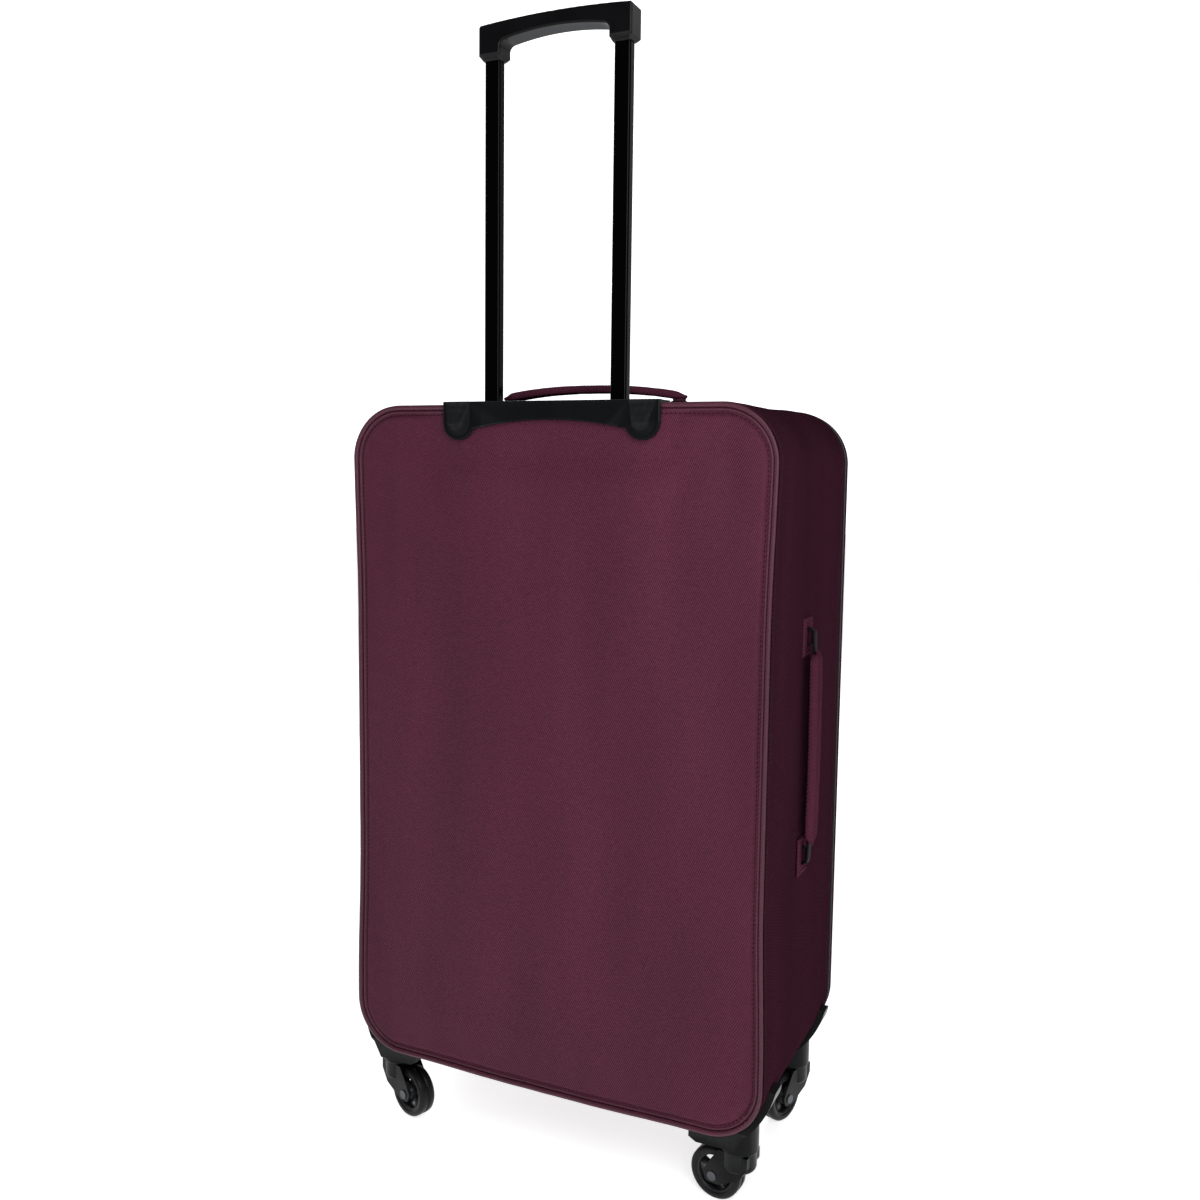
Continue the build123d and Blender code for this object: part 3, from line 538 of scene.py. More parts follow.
def panel_insets(first):
    insets = [first + 0.9 * MM * k for k in range(8)]
    while insets[-1] < 0.03:
        insets.append(insets[-1] + 2.4 * MM)
    while insets[-1] + 5.0 * MM < HALF_X - 1.0 * MM:
        insets.append(insets[-1] + 5.0 * MM)
    insets.append(HALF_X - PINHOLE)
    return insets


def dent(x, z, at_x, at_z, wide, tall, tilt=0.0):
    """A soft hollow; wide across, tall along, its line tilted by tilt radians."""
    u = (x - at_x) * math.cos(tilt) + (z - at_z) * math.sin(tilt)
    v = -(x - at_x) * math.sin(tilt) + (z - at_z) * math.cos(tilt)
    return np.exp(-((u / wide) ** 2) - (v / tall) ** 2)


def back_relief(p, inset):
    x, z = p[:, 0], p[:, 2]
    under_bezel = smoothstep(TOP - 0.075, TOP - 0.042, z) * smoothstep(0.145, 0.115, np.abs(x))
    crown = 1.7 * MM * smoothstep(0.4 * MM, 5.0 * MM, inset - FLANGE)
    crown = crown + 2.2 * MM * smoothstep(3.0 * MM, 0.05, inset - FLANGE)
    crown = crown + 1.0 * MM * smoothstep(0.03, 0.16, inset - FLANGE)
    broad = waves(p, (0.13, 0.2, 0.26), 3.0) * 1.8 * MM + waves(p, (0.05, 0.2, 0.15), 5.0) * 0.55 * MM
    hollows = (
        4.2 * dent(x, z, 0.176, 0.618, 0.016, 0.080, 0.10)
        + 2.2 * dent(x, z, 0.146, 0.60, 0.026, 0.11, 0.22)
        + 4.0 * dent(x, z, -0.168, 0.680, 0.016, 0.034, -0.45)
        + 2.6 * dent(x, z, -0.134, 0.665, 0.014, 0.05, 0.35)
        + 3.6 * dent(x, z, -0.186, 0.165, 0.010, 0.080, -0.05)
        + 2.4 * dent(x, z, -0.160, 0.20, 0.016, 0.09, 0.10)
        + 2.2 * dent(x, z, 0.115, 0.665, 0.014, 0.04, -0.55)
        + 1.6 * dent(x, z, 0.03, 0.25, 0.045, 0.13, 0.5)
        + 1.2 * dent(x, z, -0.06, 0.45, 0.05, 0.16, -0.3)
    ) * MM
    soft = smoothstep(0.004, 0.03, inset - FLANGE)
    pucker = waves(p, (0.013, 0.2, 0.013), 9.0) * 0.55 * MM
    pucker = pucker * smoothstep(0.0, 0.004, inset - FLANGE) * smoothstep(0.034, 0.008, inset - FLANGE)
    groove = -1.5 * MM * smoothstep(2.4 * MM, 0.2 * MM, np.abs(inset - FLANGE - 0.2 * MM))
    relief = groove + pucker + (crown + (broad - hollows) * soft)
    relief = relief * (1 - under_bezel) - 0.6 * MM * under_bezel
    return np.maximum(relief, -1.6 * MM)


def sewn_panel(name, y, facing, relief, first, thickness, material):
    """A sheet over one face of the case. facing is +1 for the back, -1 for the front."""
    insets = panel_insets(first)
    points, _ = sweep([(inset, y) for inset in insets])
    depth = np.repeat(insets, AROUND)
    directions = np.tile([0.0, facing, 0.0], (len(points), 1))
    shifted = warp(points)
    shifted[:, 1] += facing * relief(points, depth)
    verts, faces = shell(shifted, directions, thickness, grid_faces(len(insets), AROUND), AROUND)
    return link(name, verts, faces, material)


back_panel = sewn_panel("back_panel", PANEL_Y, 1, back_relief, FLANGE - 1.5 * MM, 1.1 * MM, body_fabric)
place(back_panel, "case", "shell_fabric", "back_cover")


def edge_line(inset, y, relief, lift, facing=1):
    """A closed line on a sewn panel, lifted off it."""
    path, _ = ring_at(inset, y)
    moved = warp(path)
    moved[:, 1] += facing * relief(path, np.full(AROUND, inset))
    moved[:, 1] += facing * lift
    return moved


# ---------------------------------------------------------------- piping
def welt(name, facing, body, nodes):
    """Covered cord with a flat sewn flange inside it."""
    centre_inset, centre_y, radius = 2.5 * MM, HALF_Y - 2.4 * MM, 2.5 * MM
    profile = []
    for k in range(14):
        a = math.radians(40 + 250 * k / 13)
        profile.append((centre_inset + radius * math.cos(a + math.pi), centre_y + radius * math.sin(a)))
    profile = profile[::-1]
    profile += [(5.2 * MM, PANEL_Y - 1.9 * MM), (5.5 * MM, PANEL_Y - 0.9 * MM), (6.2 * MM, PANEL_Y - 0.05 * MM)]
    profile += [(7.2 * MM, PANEL_Y + 0.05 * MM), (8.0 * MM, PANEL_Y - 0.7 * MM), (8.4 * MM, PANEL_Y - 1.6 * MM)]
    profile += [(8.9 * MM, PANEL_Y - 2.3 * MM), (5.4 * MM, PANEL_Y - 3.2 * MM)]
    if facing < 0:
        profile = [(i, -y) for i, y in profile]
    points, _ = sweep(profile)
    lumps = waves(points, (0.018, 0.05, 0.018), 4.0 + facing) * 0.25 * MM
    moved = warp(points)
    moved[:, 1] += facing * lumps
    faces = grid_faces(len(profile), AROUND, wrap_rows=True)
    return add_piece(name, (moved, faces), piping_fabric, body, "piping_fabric", *nodes)


welt("back_welt", 1, "case", ["back_piping"])
welt("lid_welt", -1, "lid", ["lid_piping"])
stitches(
    "back_seam_stitches",
    [edge_line(FLANGE + 0.9 * MM, PANEL_Y, back_relief, 0.25 * MM)],
    (0, 1, 0), "case", "shell_fabric", thread, closed=True, spacing=4.2 * MM, length=3.2 * MM, size=0.95 * MM,
)


# ---------------------------------------------------------------- side walls
def wall_relief(p):
    """How far the wall stands out of the case's outline."""
    x, y, z = p[:, 0], p[:, 1], p[:, 2]
    swell = waves(p, (0.16, 0.09, 0.14), 7.0) * 1.5 * MM + waves(p, (0.05, 0.03, 0.09), 8.0) * 0.45 * MM
    free = smoothstep(BOTTOM + 0.05, BOTTOM + 0.12, z)
    free = np.maximum(free, 0.6 * smoothstep(0.14, 0.1, np.abs(x)) * smoothstep(BOTTOM + 0.01, BOTTOM, z))
    edges = smoothstep(HALF_Y - 5 * MM, HALF_Y - 30 * MM, y) * smoothstep(WALL_FRONT, WALL_FRONT + 0.02, y)
    bezel = 1 - smoothstep(0.07, 0.09, y) * smoothstep(TOP - 0.01, TOP, z)
    front_welt = 0.9 * MM * smoothstep(3.2 * MM, 1.2 * MM, np.abs(y - WALL_FRONT - 6.0 * MM))
    seam = -0.7 * MM * smoothstep(2.0 * MM, 0.2 * MM, np.abs(y - HALF_Y + 6.6 * MM))
    pucker = waves(p, (0.014, 0.02, 0.014), 6.0) * 0.35 * MM
    by_back = smoothstep(HALF_Y - 0.035, HALF_Y - 0.01, y)
    by_front = smoothstep(WALL_FRONT + 0.035, WALL_FRONT + 0.01, y)
    soft = (np.maximum(swell, -1.2 * MM) * edges + pucker * (by_back + by_front)) * free * bezel
    return soft + (front_welt + seam) * smoothstep(BOTTOM, BOTTOM + 0.02, z)


def wall_strip(name, depths, relief, thickness, material):
    """A sheet round the case over the depths given."""
    points, directions = sweep([(0.0, y) for y in depths])
    moved = warp(points)
    if relief is not None:
        moved = moved + directions * relief(points)[:, None]
    verts, faces = shell(moved, directions, thickness, grid_faces(len(depths), AROUND))
    return link(name, verts, faces, material)


depths = list(np.linspace(HALF_Y - 4.6 * MM, HALF_Y - 10 * MM, 5))
depths += list(np.linspace(HALF_Y - 14 * MM, WALL_FRONT + 12 * MM, 46))
depths += list(np.linspace(WALL_FRONT + 10 * MM, WALL_FRONT + 0.4 * MM, 9))
side_wall = wall_strip("side_wall", depths, wall_relief, 1.1 * MM, shaded_wall_fabric)
place(side_wall, "case", "shell_fabric", "gusset_cover")


def outward(centres):
    """Outward direction of the wall at points near it."""
    ring, normals = outline(0.0)
    out = []
    for c in centres:
        k = int(np.argmin((ring[:, 0] - c[0]) ** 2 + (ring[:, 1] - c[2]) ** 2))
        out.append((normals[k, 0], 0.0, normals[k, 1]))
    return np.array(out)


def wall_line(y, lift):
    """A closed line round the side wall, lifted off it."""
    path, direction = ring_at(0.0, y)
    return warp(path) + direction * (wall_relief(path) + lift)[:, None]


stitches(
    "wall_seam_stitches",
    [wall_line(HALF_Y - 6.6 * MM, 0.2 * MM), wall_line(WALL_FRONT + 10 * MM, 0.15 * MM)],
    outward, "case", "shell_fabric", thread, closed=True, spacing=4.0 * MM, length=3.0 * MM, size=0.8 * MM,
)


# ---------------------------------------------------------------- zip and lid
ring0, _ = outline(0.0)
in_hinge = (ring0[:, 0] > HALF_X - CORNER) & (ring0[:, 1] > hinge_lo.z) & (ring0[:, 1] < hinge_hi.z)
COIL_PITCH = 2.5 * MM


def zip_tape(name, y_wall, y_teeth, body, node):
    """Woven tape with a raised sewing ridge; it stops at the fabric hinge."""
    steps = ((0.3, 0.0), (0.1, 0.4), (0.5, 0.75), (0.35, 1.0))
    profile = [(inset * MM, y_wall * (1 - t) + y_teeth * t) for inset, t in steps]
    points, directions = sweep(profile)
    mesh = shell(warp(points), directions, 0.8 * MM, grid_faces(len(profile), AROUND, skip=in_hinge))
    return add_piece(name, mesh, tape_fabric, body, "zip_tape", node)


def coil(name, y, offset, body):
    """One side's teeth, from one end of the zip to the other: the outline starts inside the hinge."""
    path, normals = ring_at(0.0, y)
    path = (path - normals * 0.1 * MM)[~in_hinge]
    centres, along = resample(warp(path), COIL_PITCH, start=offset)
    template, faces = bead(1.55 * MM, 2.2 * MM, 1.9 * MM)
    mesh = scatter(template, faces, centres, along, outward(centres))
    return add_piece(name, mesh, coil_nylon, body, "zip_tape")


zip_tape("body_zip_tape", WALL_FRONT + 0.6 * MM, ZIP_Y + 0.9 * MM, "case", "body_zip_half")
zip_tape("lid_zip_tape", LID_EDGE_Y - 0.6 * MM, ZIP_Y - 0.9 * MM, "lid", "lid_zip_half")
coil("body_zip_coil", ZIP_Y + 0.55 * MM, 0.0, "case")
coil("lid_zip_coil", ZIP_Y - 0.55 * MM, COIL_PITCH / 2, "lid")


def lid_relief(p, inset):
    x, z = p[:, 0], p[:, 2]
    crown = 1.6 * MM * smoothstep(0.0, 0.05, inset - FLANGE)
    pocket_zone = smoothstep(0.175, 0.155, np.abs(x)) * smoothstep(BOTTOM + 0.05, BOTTOM + 0.07, z)
    pocket_zone = pocket_zone * smoothstep(BOTTOM + 0.44, BOTTOM + 0.42, z)
    broad = waves(p, (0.12, 0.2, 0.16), 13.0) * 0.9 * MM
    pucker = waves(p, (0.013, 0.2, 0.013), 15.0) * 0.5 * MM
    pucker = pucker * smoothstep(0.0, 0.004, inset - FLANGE) * smoothstep(0.034, 0.008, inset - FLANGE)
    groove = -1.2 * MM * smoothstep(2.4 * MM, 0.2 * MM, np.abs(inset - FLANGE - 1.0 * MM))
    soft = crown + broad * smoothstep(0.0, 0.03, inset - FLANGE)
    return np.maximum(groove + pucker + soft * (1 - pocket_zone), -1.1 * MM)


lid_panel = sewn_panel("lid_panel", LID_PANEL_Y, -1, lid_relief, FLANGE - 1.5 * MM, 1.1 * MM, body_fabric)
place(lid_panel, "lid", "shell_fabric", "lid_cover")
lid_band = wall_strip("lid_band", np.linspace(LID_EDGE_Y, -HALF_Y + 4.6 * MM, 6), None, 1.1 * MM, shaded_wall_fabric)
place(lid_band, "lid", "shell_fabric")
stitches(
    "lid_seam_stitches",
    [edge_line(FLANGE + 1.2 * MM, LID_PANEL_Y, lid_relief, 0.25 * MM, -1)],
    (0, -1, 0), "lid", "shell_fabric", thread, closed=True, spacing=4.2 * MM, length=3.2 * MM, size=0.95 * MM,
)

# fabric hinge strip on the left side, sewn to the wall and to the lid
rows_z = np.linspace(hinge_lo.z - 1.0 * MM, hinge_hi.z + 1.0 * MM, 150)
rows_y = np.linspace(WALL_FRONT + 4.0 * MM, LID_EDGE_Y - 4.0 * MM, 19)
grid = np.array([[(HALF_X + 0.5 * MM, y, z) for z in rows_z] for y in rows_y]).reshape(-1, 3)
crease = 0.7 * MM * np.exp(-(((grid[:, 1] - ZIP_Y) / (1.6 * MM)) ** 2))
grid[:, 0] += waves(grid, (0.1, 0.004, 0.03), 21.0) * 0.25 * MM - crease
faces = grid_faces(len(rows_y), len(rows_z), wrap_columns=False)
mesh = shell(grid, np.tile([1.0, 0, 0], (len(grid), 1)), 1.0 * MM, faces)
hinge_strip = link("hinge_strip", *mesh, shaded_wall_fabric)
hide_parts("hinge_fabric")
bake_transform(hinge_strip)
for y, body in ((WALL_FRONT + 2.4 * MM, "case"), (LID_EDGE_Y - 2.4 * MM, "lid")):
    line = [(HALF_X + 0.7 * MM, y, z) for z in rows_z[1:-1]]
    stitches("hinge_stitches_" + body, [line], (1, 0, 0), body, "shell_fabric", thread, spacing=3.8 * MM)

# ---------------------------------------------------------------- front pocket
pocket_lo, pocket_hi = box_of("front_pocket")
zip_lo, zip_hi = box_of("pocket_zip")
POCKET_ZIP_Z = (zip_lo[2] + zip_hi[2]) / 2
POCKET_CORNER = 0.028


def rounded_block(lo, hi, radius, bevel, steps=8, turn=12):
    """Closed block with rounded corners in plan and a bevelled front, as verts and faces."""
    rows = []
    cx, cz = (lo[0] + hi[0]) / 2, (lo[2] + hi[2]) / 2
    profile = [(0.0, hi[1])]
    for k in range(steps + 1):
        a = math.pi / 2 * k / steps
        profile.append((bevel * (1 - math.cos(a)), lo[1] + bevel * (1 - math.sin(a))))
    for inset, y in profile:
        hx, hz = (hi[0] - lo[0]) / 2 - inset, (hi[2] - lo[2]) / 2 - inset
        r = max(radius - inset, 0.002)
        for start, sx, sz in ((0, 1, 1), (90, -1, 1), (180, -1, -1), (270, 1, -1)):
            for k in range(turn + 1):
                a = math.radians(start + 90 * k / turn)
                rows.append((cx + sx * (hx - r) + r * math.cos(a), y, cz + sz * (hz - r) + r * math.sin(a)))
    count = 4 * (turn + 1)
    return np.array(rows), grid_faces(len(profile), count) + caps(len(profile), count)


def inflate(obj, voxel, pressure, cap, frames=20):
    """Swell a closed mesh with the cloth solver, and keep each point within cap of where it was."""
    remesh = obj.modifiers.new("remesh", "REMESH")
    remesh.mode = "VOXEL"
    remesh.voxel_size = voxel
    bake_modifiers(obj)
    rest = np.array([v.co for v in obj.data.vertices], float)
    cloth = obj.modifiers.new("cloth", "CLOTH")
    cloth.settings.use_pressure = True
    cloth.settings.uniform_pressure_force = pressure
    cloth.settings.effector_weights.gravity = 0
    cloth.settings.quality = 5
    scene = bpy.context.scene
    cloth.point_cache.frame_start = 1
    cloth.point_cache.frame_end = frames
    for number in range(1, frames + 1):
        scene.frame_set(number)
    bake_modifiers(obj)
    scene.frame_set(1)
    moved = np.array([v.co for v in obj.data.vertices], float)
    step = moved - rest
    size = np.linalg.norm(step, axis=1)[:, None]
    moved = rest + step * np.minimum(1, cap / np.maximum(size, 1e-9))
    return rest, moved


lo, hi = pocket_lo + [2.5 * MM, 3.0 * MM, 2.5 * MM], pocket_hi - [2.5 * MM, 0, 2.5 * MM]
pocket = link("front_pocket_pad", *rounded_block(lo, hi, POCKET_CORNER, 7.0 * MM), body_fabric)
rest, moved = inflate(pocket, 5.0 * MM, 4.0, 6.0 * MM)
local = moved - ORIGIN
from_zip = np.abs(local[:, 2] - POCKET_ZIP_Z)
ripple = waves(local, (0.09, 0.2, 0.07), 31.0) * 1.1 * MM + waves(local, (0.03, 0.2, 0.05), 33.0) * 0.4 * MM
front_side = smoothstep(pocket_hi[1] - 6 * MM, pocket_lo[1] + 3 * MM, local[:, 1])
local[:, 1] -= ripple * front_side
crown_limit = pocket_lo[1] - 2.6 * MM + 3.2 * MM * smoothstep(0.026, 0.010, from_zip)
local[:, 1] = np.clip(local[:, 1], crown_limit, pocket_hi[1] - 0.15 * MM)
local[:, 0] = np.clip(local[:, 0], pocket_lo[0] - 1 * MM, pocket_hi[0] + 1 * MM)
pocket.data.vertices.foreach_set("co", (local + ORIGIN).ravel())
pocket.data.polygons.foreach_set("use_smooth", [True] * len(pocket.data.polygons))
pocket.data.materials.clear()
pocket.data.materials.append(body_fabric)
pocket.data.update()
subdivide = pocket.modifiers.new("smooth", "SUBSURF")
subdivide.levels = subdivide.render_levels = 1
bake_modifiers(pocket)
place(pocket, "lid", "shell_fabric", "front_pocket")


def rounded_path(lo, hi, radius, y, steps=10):
    """Closed path round a rounded rectangle in X and Z."""
    path = []
    left, right, low, high = lo[0] + radius, hi[0] - radius, lo[2] + radius, hi[2] - radius
    for cx, cz, start in ((right, high, 0), (left, high, 90), (left, low, 180), (right, low, 270)):
        for k in range(steps + 1):
            a = math.radians(start + 90 * k / steps)
            path.append((cx + radius * math.cos(a), y, cz + radius * math.sin(a)))
    path.append(path[0])
    path = np.array(path)
    points, _ = resample(path, 3.0 * MM)
    return points


def tube_mesh(path, radius, rounds=10):
    """A cord along a closed path."""
    path = np.asarray(path, float)
    tangent = np.roll(path, -1, 0) - np.roll(path, 1, 0)
    tangent /= np.linalg.norm(tangent, axis=1)[:, None] + 1e-12
    reference = np.array([0.0, 1.0, 0.0])
    side = np.cross(tangent, reference)
    side /= np.linalg.norm(side, axis=1)[:, None] + 1e-12
    up = np.cross(side, tangent)
    verts = []
    for k in range(rounds):
        a = 2 * math.pi * k / rounds
        verts.append(path + radius * (math.cos(a) * side + math.sin(a) * up))
    verts = np.stack(verts, 1).reshape(-1, 3)
    return verts, grid_faces(len(path), rounds, wrap_rows=True)


rim = 2.2 * np.array([MM, 0, MM])
route = rounded_path(pocket_lo + rim, pocket_hi - rim, POCKET_CORNER, pocket_lo[1] + 6.5 * MM)
add_piece("pocket_welt", tube_mesh(route, 2.2 * MM), piping_fabric, "lid", "piping_fabric")
seat = 0.5 * np.array([MM, 0, MM])
route = rounded_path(pocket_lo - seat, pocket_hi + seat, POCKET_CORNER + 2 * MM, LID_PANEL_Y - 0.6 * MM)
add_piece("pocket_base_cord", tube_mesh(route, 1.3 * MM), piping_fabric, "lid", "piping_fabric")

face_y = zip_lo[1]
half = zip_hi[0] - 2 * MM
for sign, name in ((1, "upper"), (-1, "lower")):
    def along_zip(reach, count, y, off):
        return [(x, y, POCKET_ZIP_Z + sign * off) for x in np.linspace(-reach, reach, count)]

    tape = strap_mesh(along_zip(half, 90, face_y + 0.7 * MM, 3.9 * MM), 6.4 * MM, 0.9 * MM, (0, 0, 1))
    stands_for = ["pocket_zip"] if sign > 0 else []
    add_piece("pocket_tape_" + name, tape, tape_fabric, "lid", "zip_tape", *stands_for)
    teeth = along_zip(half, 60, face_y + 0.3 * MM, 0.6 * MM)
    centres, along = resample(teeth, 2.4 * MM, start=0.0 if sign > 0 else 1.2 * MM)
    facing = np.tile([0, -1.0, 0], (len(centres), 1))
    mesh = scatter(*bead(1.5 * MM, 2.1 * MM, 1.7 * MM), centres, along, facing)
    add_piece("pocket_coil_" + name, mesh, coil_nylon, "lid", "zip_tape")
    fold = along_zip(half + 4 * MM, 120, face_y + 0.2 * MM, 7.6 * MM)
    fold = [(x, y + 0.25 * MM * math.sin(x * 140), z) for x, y, z in fold]
    mesh = strap_mesh(fold, 4.6 * MM, 2.4 * MM, (0, 0, 1), bow=0.3)
    add_piece("pocket_fold_" + name, mesh, piping_fabric, "lid", "piping_fabric")
    line = along_zip(half, 60, face_y - 1.15 * MM, 8.4 * MM)
    stitches("pocket_stitches_" + name, [line], (0, -1, 0), "lid", "shell_fabric", thread)


# ---------------------------------------------------------------- carry handles
TOP_FOOT_X = 89.5 * MM
TOP_PIN_Z = TOP + 5.0 * MM
SIDE_PIN_X = -HALF_X - 4.6 * MM
SLEEVE_ROW = {"spacing": 3.2 * MM, "length": 2.5 * MM, "size": 0.7 * MM}
PATCH_ROW = {"spacing": 2.9 * MM, "length": 2.2 * MM, "size": 0.65 * MM}


def hump(x, middle, wide):
    return np.exp(-(((x - middle) / wide) ** 2))


def top_handle():
    lo, hi = box_of("top_carry_handle")
    y = (lo[1] + hi[1]) / 2
    half = hi[0] - 1.5 * MM
    x = np.linspace(-half, half, 121)
    u = x / half
    crown, ends = hi[2] - 3.3 * MM, TOP + 9.6 * MM
    z = ends + (crown - ends) * (1 - np.abs(u) ** 2.3)
    tip = smoothstep(1.0, 0.86, np.abs(u))
    path = np.column_stack([x, np.full_like(x, y), z])
    width = 24 * MM * (0.45 + 0.55 * tip) + waves(path, (0.02, 0.1, 0.1), 2.0) * 0.4 * MM
    thick = 6.8 * MM * (0.42 + 0.58 * tip) + waves(path, (0.012, 0.1, 0.1), 4.0) * 0.35 * MM
    mesh = strap_mesh(path, width, thick, (0, 1, 0), bow=0.16)
    own = ("top_handle", "handle_fabric")
    sleeve = add_piece("top_handle_sleeve", mesh, handle_fabric, *own, "top_carry_handle")
    lines = []
    for side in (-1, 1):
        run = path[6:-6].copy()
        run[:, 1] += side * (width[6:-6] / 2 - 3.2 * MM)
        run[:, 2] += thick[6:-6] / 2 * 1.02
        lines.append(run)
    stitches("top_handle_stitches", lines, (0, 0, 1), *own, handle_thread, **SLEEVE_ROW)
    turn = np.radians(np.linspace(-30, 210, 17))
    under_pin = [(2.9 * MM * math.cos(a), TOP_PIN_Z - 2.4 * MM * math.sin(a)) for a in turn]
    leg = [(2.6 * MM, TOP + 10.4 * MM), (2.9 * MM, TOP + 7.5 * MM)]
    route = leg + under_pin + [(-off, height) for off, height in reversed(leg)]
    for side, name in ((1, "left"), (-1, "right")):
        strap = [(side * TOP_FOOT_X, y + off, height) for off, height in route]
        mesh = strap_mesh(strap, 11 * MM, 1.5 * MM, (1, 0, 0))
        add_piece("top_handle_loop_" + name, mesh, handle_fabric, *own)


def patch(name, centre, u, v, normal, half_u, half_v, nodes, creases=True):
    """A folded fabric square sewn down round its edge."""
    n = 25
    a, b = np.meshgrid(np.linspace(-1, 1, n), np.linspace(-1, 1, n))
    a, b = a.ravel(), b.ravel()
    edge = np.maximum(np.abs(a), np.abs(b))
    height = 1.15 * MM + 0.55 * MM * smoothstep(0.80, 0.92, edge) - 0.3 * MM * smoothstep(0.97, 1.0, edge)
    height = height - 0.5 * MM * hump(edge, 0.78, 0.05)
    if creases:
        height = height + 0.5 * MM * (hump(a, 0.3, 0.09) + hump(a, -0.35, 0.09))
    u, v, normal, centre = (np.array(c, float) for c in (u, v, normal, centre))
    points = centre + a[:, None] * half_u * u + b[:, None] * half_v * v + height[:, None] * normal
    faces = grid_faces(n, n, wrap_columns=False)
    mesh = shell(points, np.tile(normal, (len(points), 1)), 1.3 * MM, faces)
    add_piece(name, mesh, handle_fabric, "case", "webbing", *nodes)
    s = 0.86
    square = [(-s, -s), (s, -s), (s, s), (-s, s), (-s, -s)]
    line = [centre + p * half_u * u + q * half_v * v + 1.75 * MM * normal for p, q in square]
    stitches(name + "_stitches", [line], tuple(normal), "case", "webbing", handle_thread, **PATCH_ROW)


def side_handle():
    lo, hi = box_of("side_carry_handle")
    y = (lo[1] + hi[1]) / 2
    mid = (lo[2] + hi[2]) / 2
    face = lo[0] + 2.2 * MM
    half = 93 * MM
    rounds = 44
    z = np.linspace(-half, half, 101)
    rows = []
    for t in z:
        u = abs(t) / half
        tip = smoothstep(1.0, 0.93, u)
        width = 25 * MM * (0.85 + 0.15 * tip) / 2
        thick = 7.4 * MM * (0.6 + 0.4 * tip) / 2
        x = face + 3.2 * MM + 1.0 * MM * u ** 2
        for j in range(rounds):
            a = 2 * math.pi * j / rounds
            cy, cx = math.cos(a), math.sin(a)
            py = y + width * np.sign(cy) * abs(cy) ** 0.55
            bulge = np.sign(cx) * abs(cx) ** 0.6
            across = (py - y) / width
            folds = hump(across, 0.62, 0.13) + hump(across, -0.5, 0.13) + 0.7 * hump(across, 0.08, 0.1)
            ridge = 1.3 * MM * folds if cx < 0 else 0.0
            wobble = 0.3 * MM * noise.noise(Vector((py / 0.008, t / 0.02, 3.0)))
            drop = abs(py - y) * 0.8 * np.sign(t) * smoothstep(0.80, 1.0, u)
            rows.append((x + thick * bulge - ridge - wobble, py, mid + t - drop))
    mesh = np.array(rows), grid_faces(len(z), rounds) + caps(len(z), rounds)
    own = ("side_handle", "handle_fabric")
    sleeve = add_piece("side_handle_sleeve", mesh, handle_fabric, *own, "side_carry_handle")
    offsets = (-8.6 * MM, 8.6 * MM)
    lines = [[(face - 0.05 * MM, y + off, mid + t) for t in z[5:-5]] for off in offsets]
    stitches("side_handle_stitches", lines, (-1, 0, 0), *own, handle_thread, **SLEEVE_ROW)
    bend = ((2.6, 84), (2.6, 90), (2.4, 97), (2.2, 102), (1.9, 106), (1.3, 109))
    for end, name in ((1, "upper"), (-1, "lower")):
        strap = [(SIDE_PIN_X - out * MM, y, mid + end * up * MM) for out, up in bend]
        mesh = strap_mesh(strap, 11 * MM, 1.8 * MM, (0, 1, 0), bow=0.3)
        add_piece("side_handle_strap_" + name, mesh, dark_webbing_and_shadow, "side_handle", "webbing")
    # A dark webbing strip between the wall and the sleeve: painted shadow that stands for the shade in that
    # gap.
    shadow_path = [(-HALF_X - 5.6 * MM, y, mid + t) for t in np.linspace(-84 * MM, 84 * MM, 57)]
    mesh = strap_mesh(shadow_path, 15.5 * MM, 4.0 * MM, (0, 1, 0), bow=0.2)
    add_piece("side_handle_shadow_strip", mesh, dark_webbing_and_shadow, "side_handle", "webbing")


def loop_route(middle, root, pin):
    """A loop's points as (along, out): out of the fabric at root, over at pin, and back."""
    reach, corner = 7.4 * MM, 1.2 * MM
    below = pin - math.copysign(corner, pin)
    first = [(-reach, root), (-reach, below), (-reach + corner, pin)]
    return [(middle + along, out) for along, out in first + [(-a, out) for a, out in reversed(first)]]


def loop(name, route, y):
    """Short bunched webbing loop that a handle turns on."""
    path = np.array([(a, y, b) for a, b in route])
    points, _ = resample(path, 0.8 * MM)
    points = np.vstack([path[:1], points, path[-1:]])
    for _ in range(3):
        points[1:-1] = (points[:-2] + 2 * points[1:-1] + points[2:]) / 4
    mesh = strap_mesh(points, 10 * MM, 1.5 * MM, (0, 1, 0), bow=0.5)
    add_piece(name, mesh, dark_webbing_and_shadow, "case", "webbing")


top_handle()
side_handle()
lo, hi = box_of("side_handle_anchors")
handle_y = (lo[1] + hi[1]) / 2
patch_off = (hi[2] - lo[2]) / 2 - 18 * MM
for end, name, nodes in ((1, "upper", ["side_handle_anchors"]), (-1, "lower", [])):
    z = (lo[2] + hi[2]) / 2 + end * patch_off
    centre = warp(np.array([[-HALF_X, handle_y, z]]))[0]
    patch("side_patch_" + name, centre, (0, 1, 0), (0, 0, 1), (-1, 0, 0), 14.5 * MM, 18 * MM, nodes)
    route = loop_route(z, -HALF_X + 1 * MM, SIDE_PIN_X)
    loop("side_loop_" + name, [(out, along) for along, out in route], handle_y)
lo, hi = box_of("top_handle_anchors")
handle_y = (lo[1] + hi[1]) / 2
for side, name, nodes in ((1, "left", ["top_handle_anchors"]), (-1, "right", [])):
    x = side * TOP_FOOT_X
    centre = (x, handle_y, TOP)
    patch("top_patch_" + name, centre, (1, 0, 0), (0, 1, 0), (0, 0, 1), 11 * MM, 16 * MM, nodes, False)
    loop("top_loop_" + name, loop_route(x, TOP - 1 * MM, TOP_PIN_Z), handle_y)


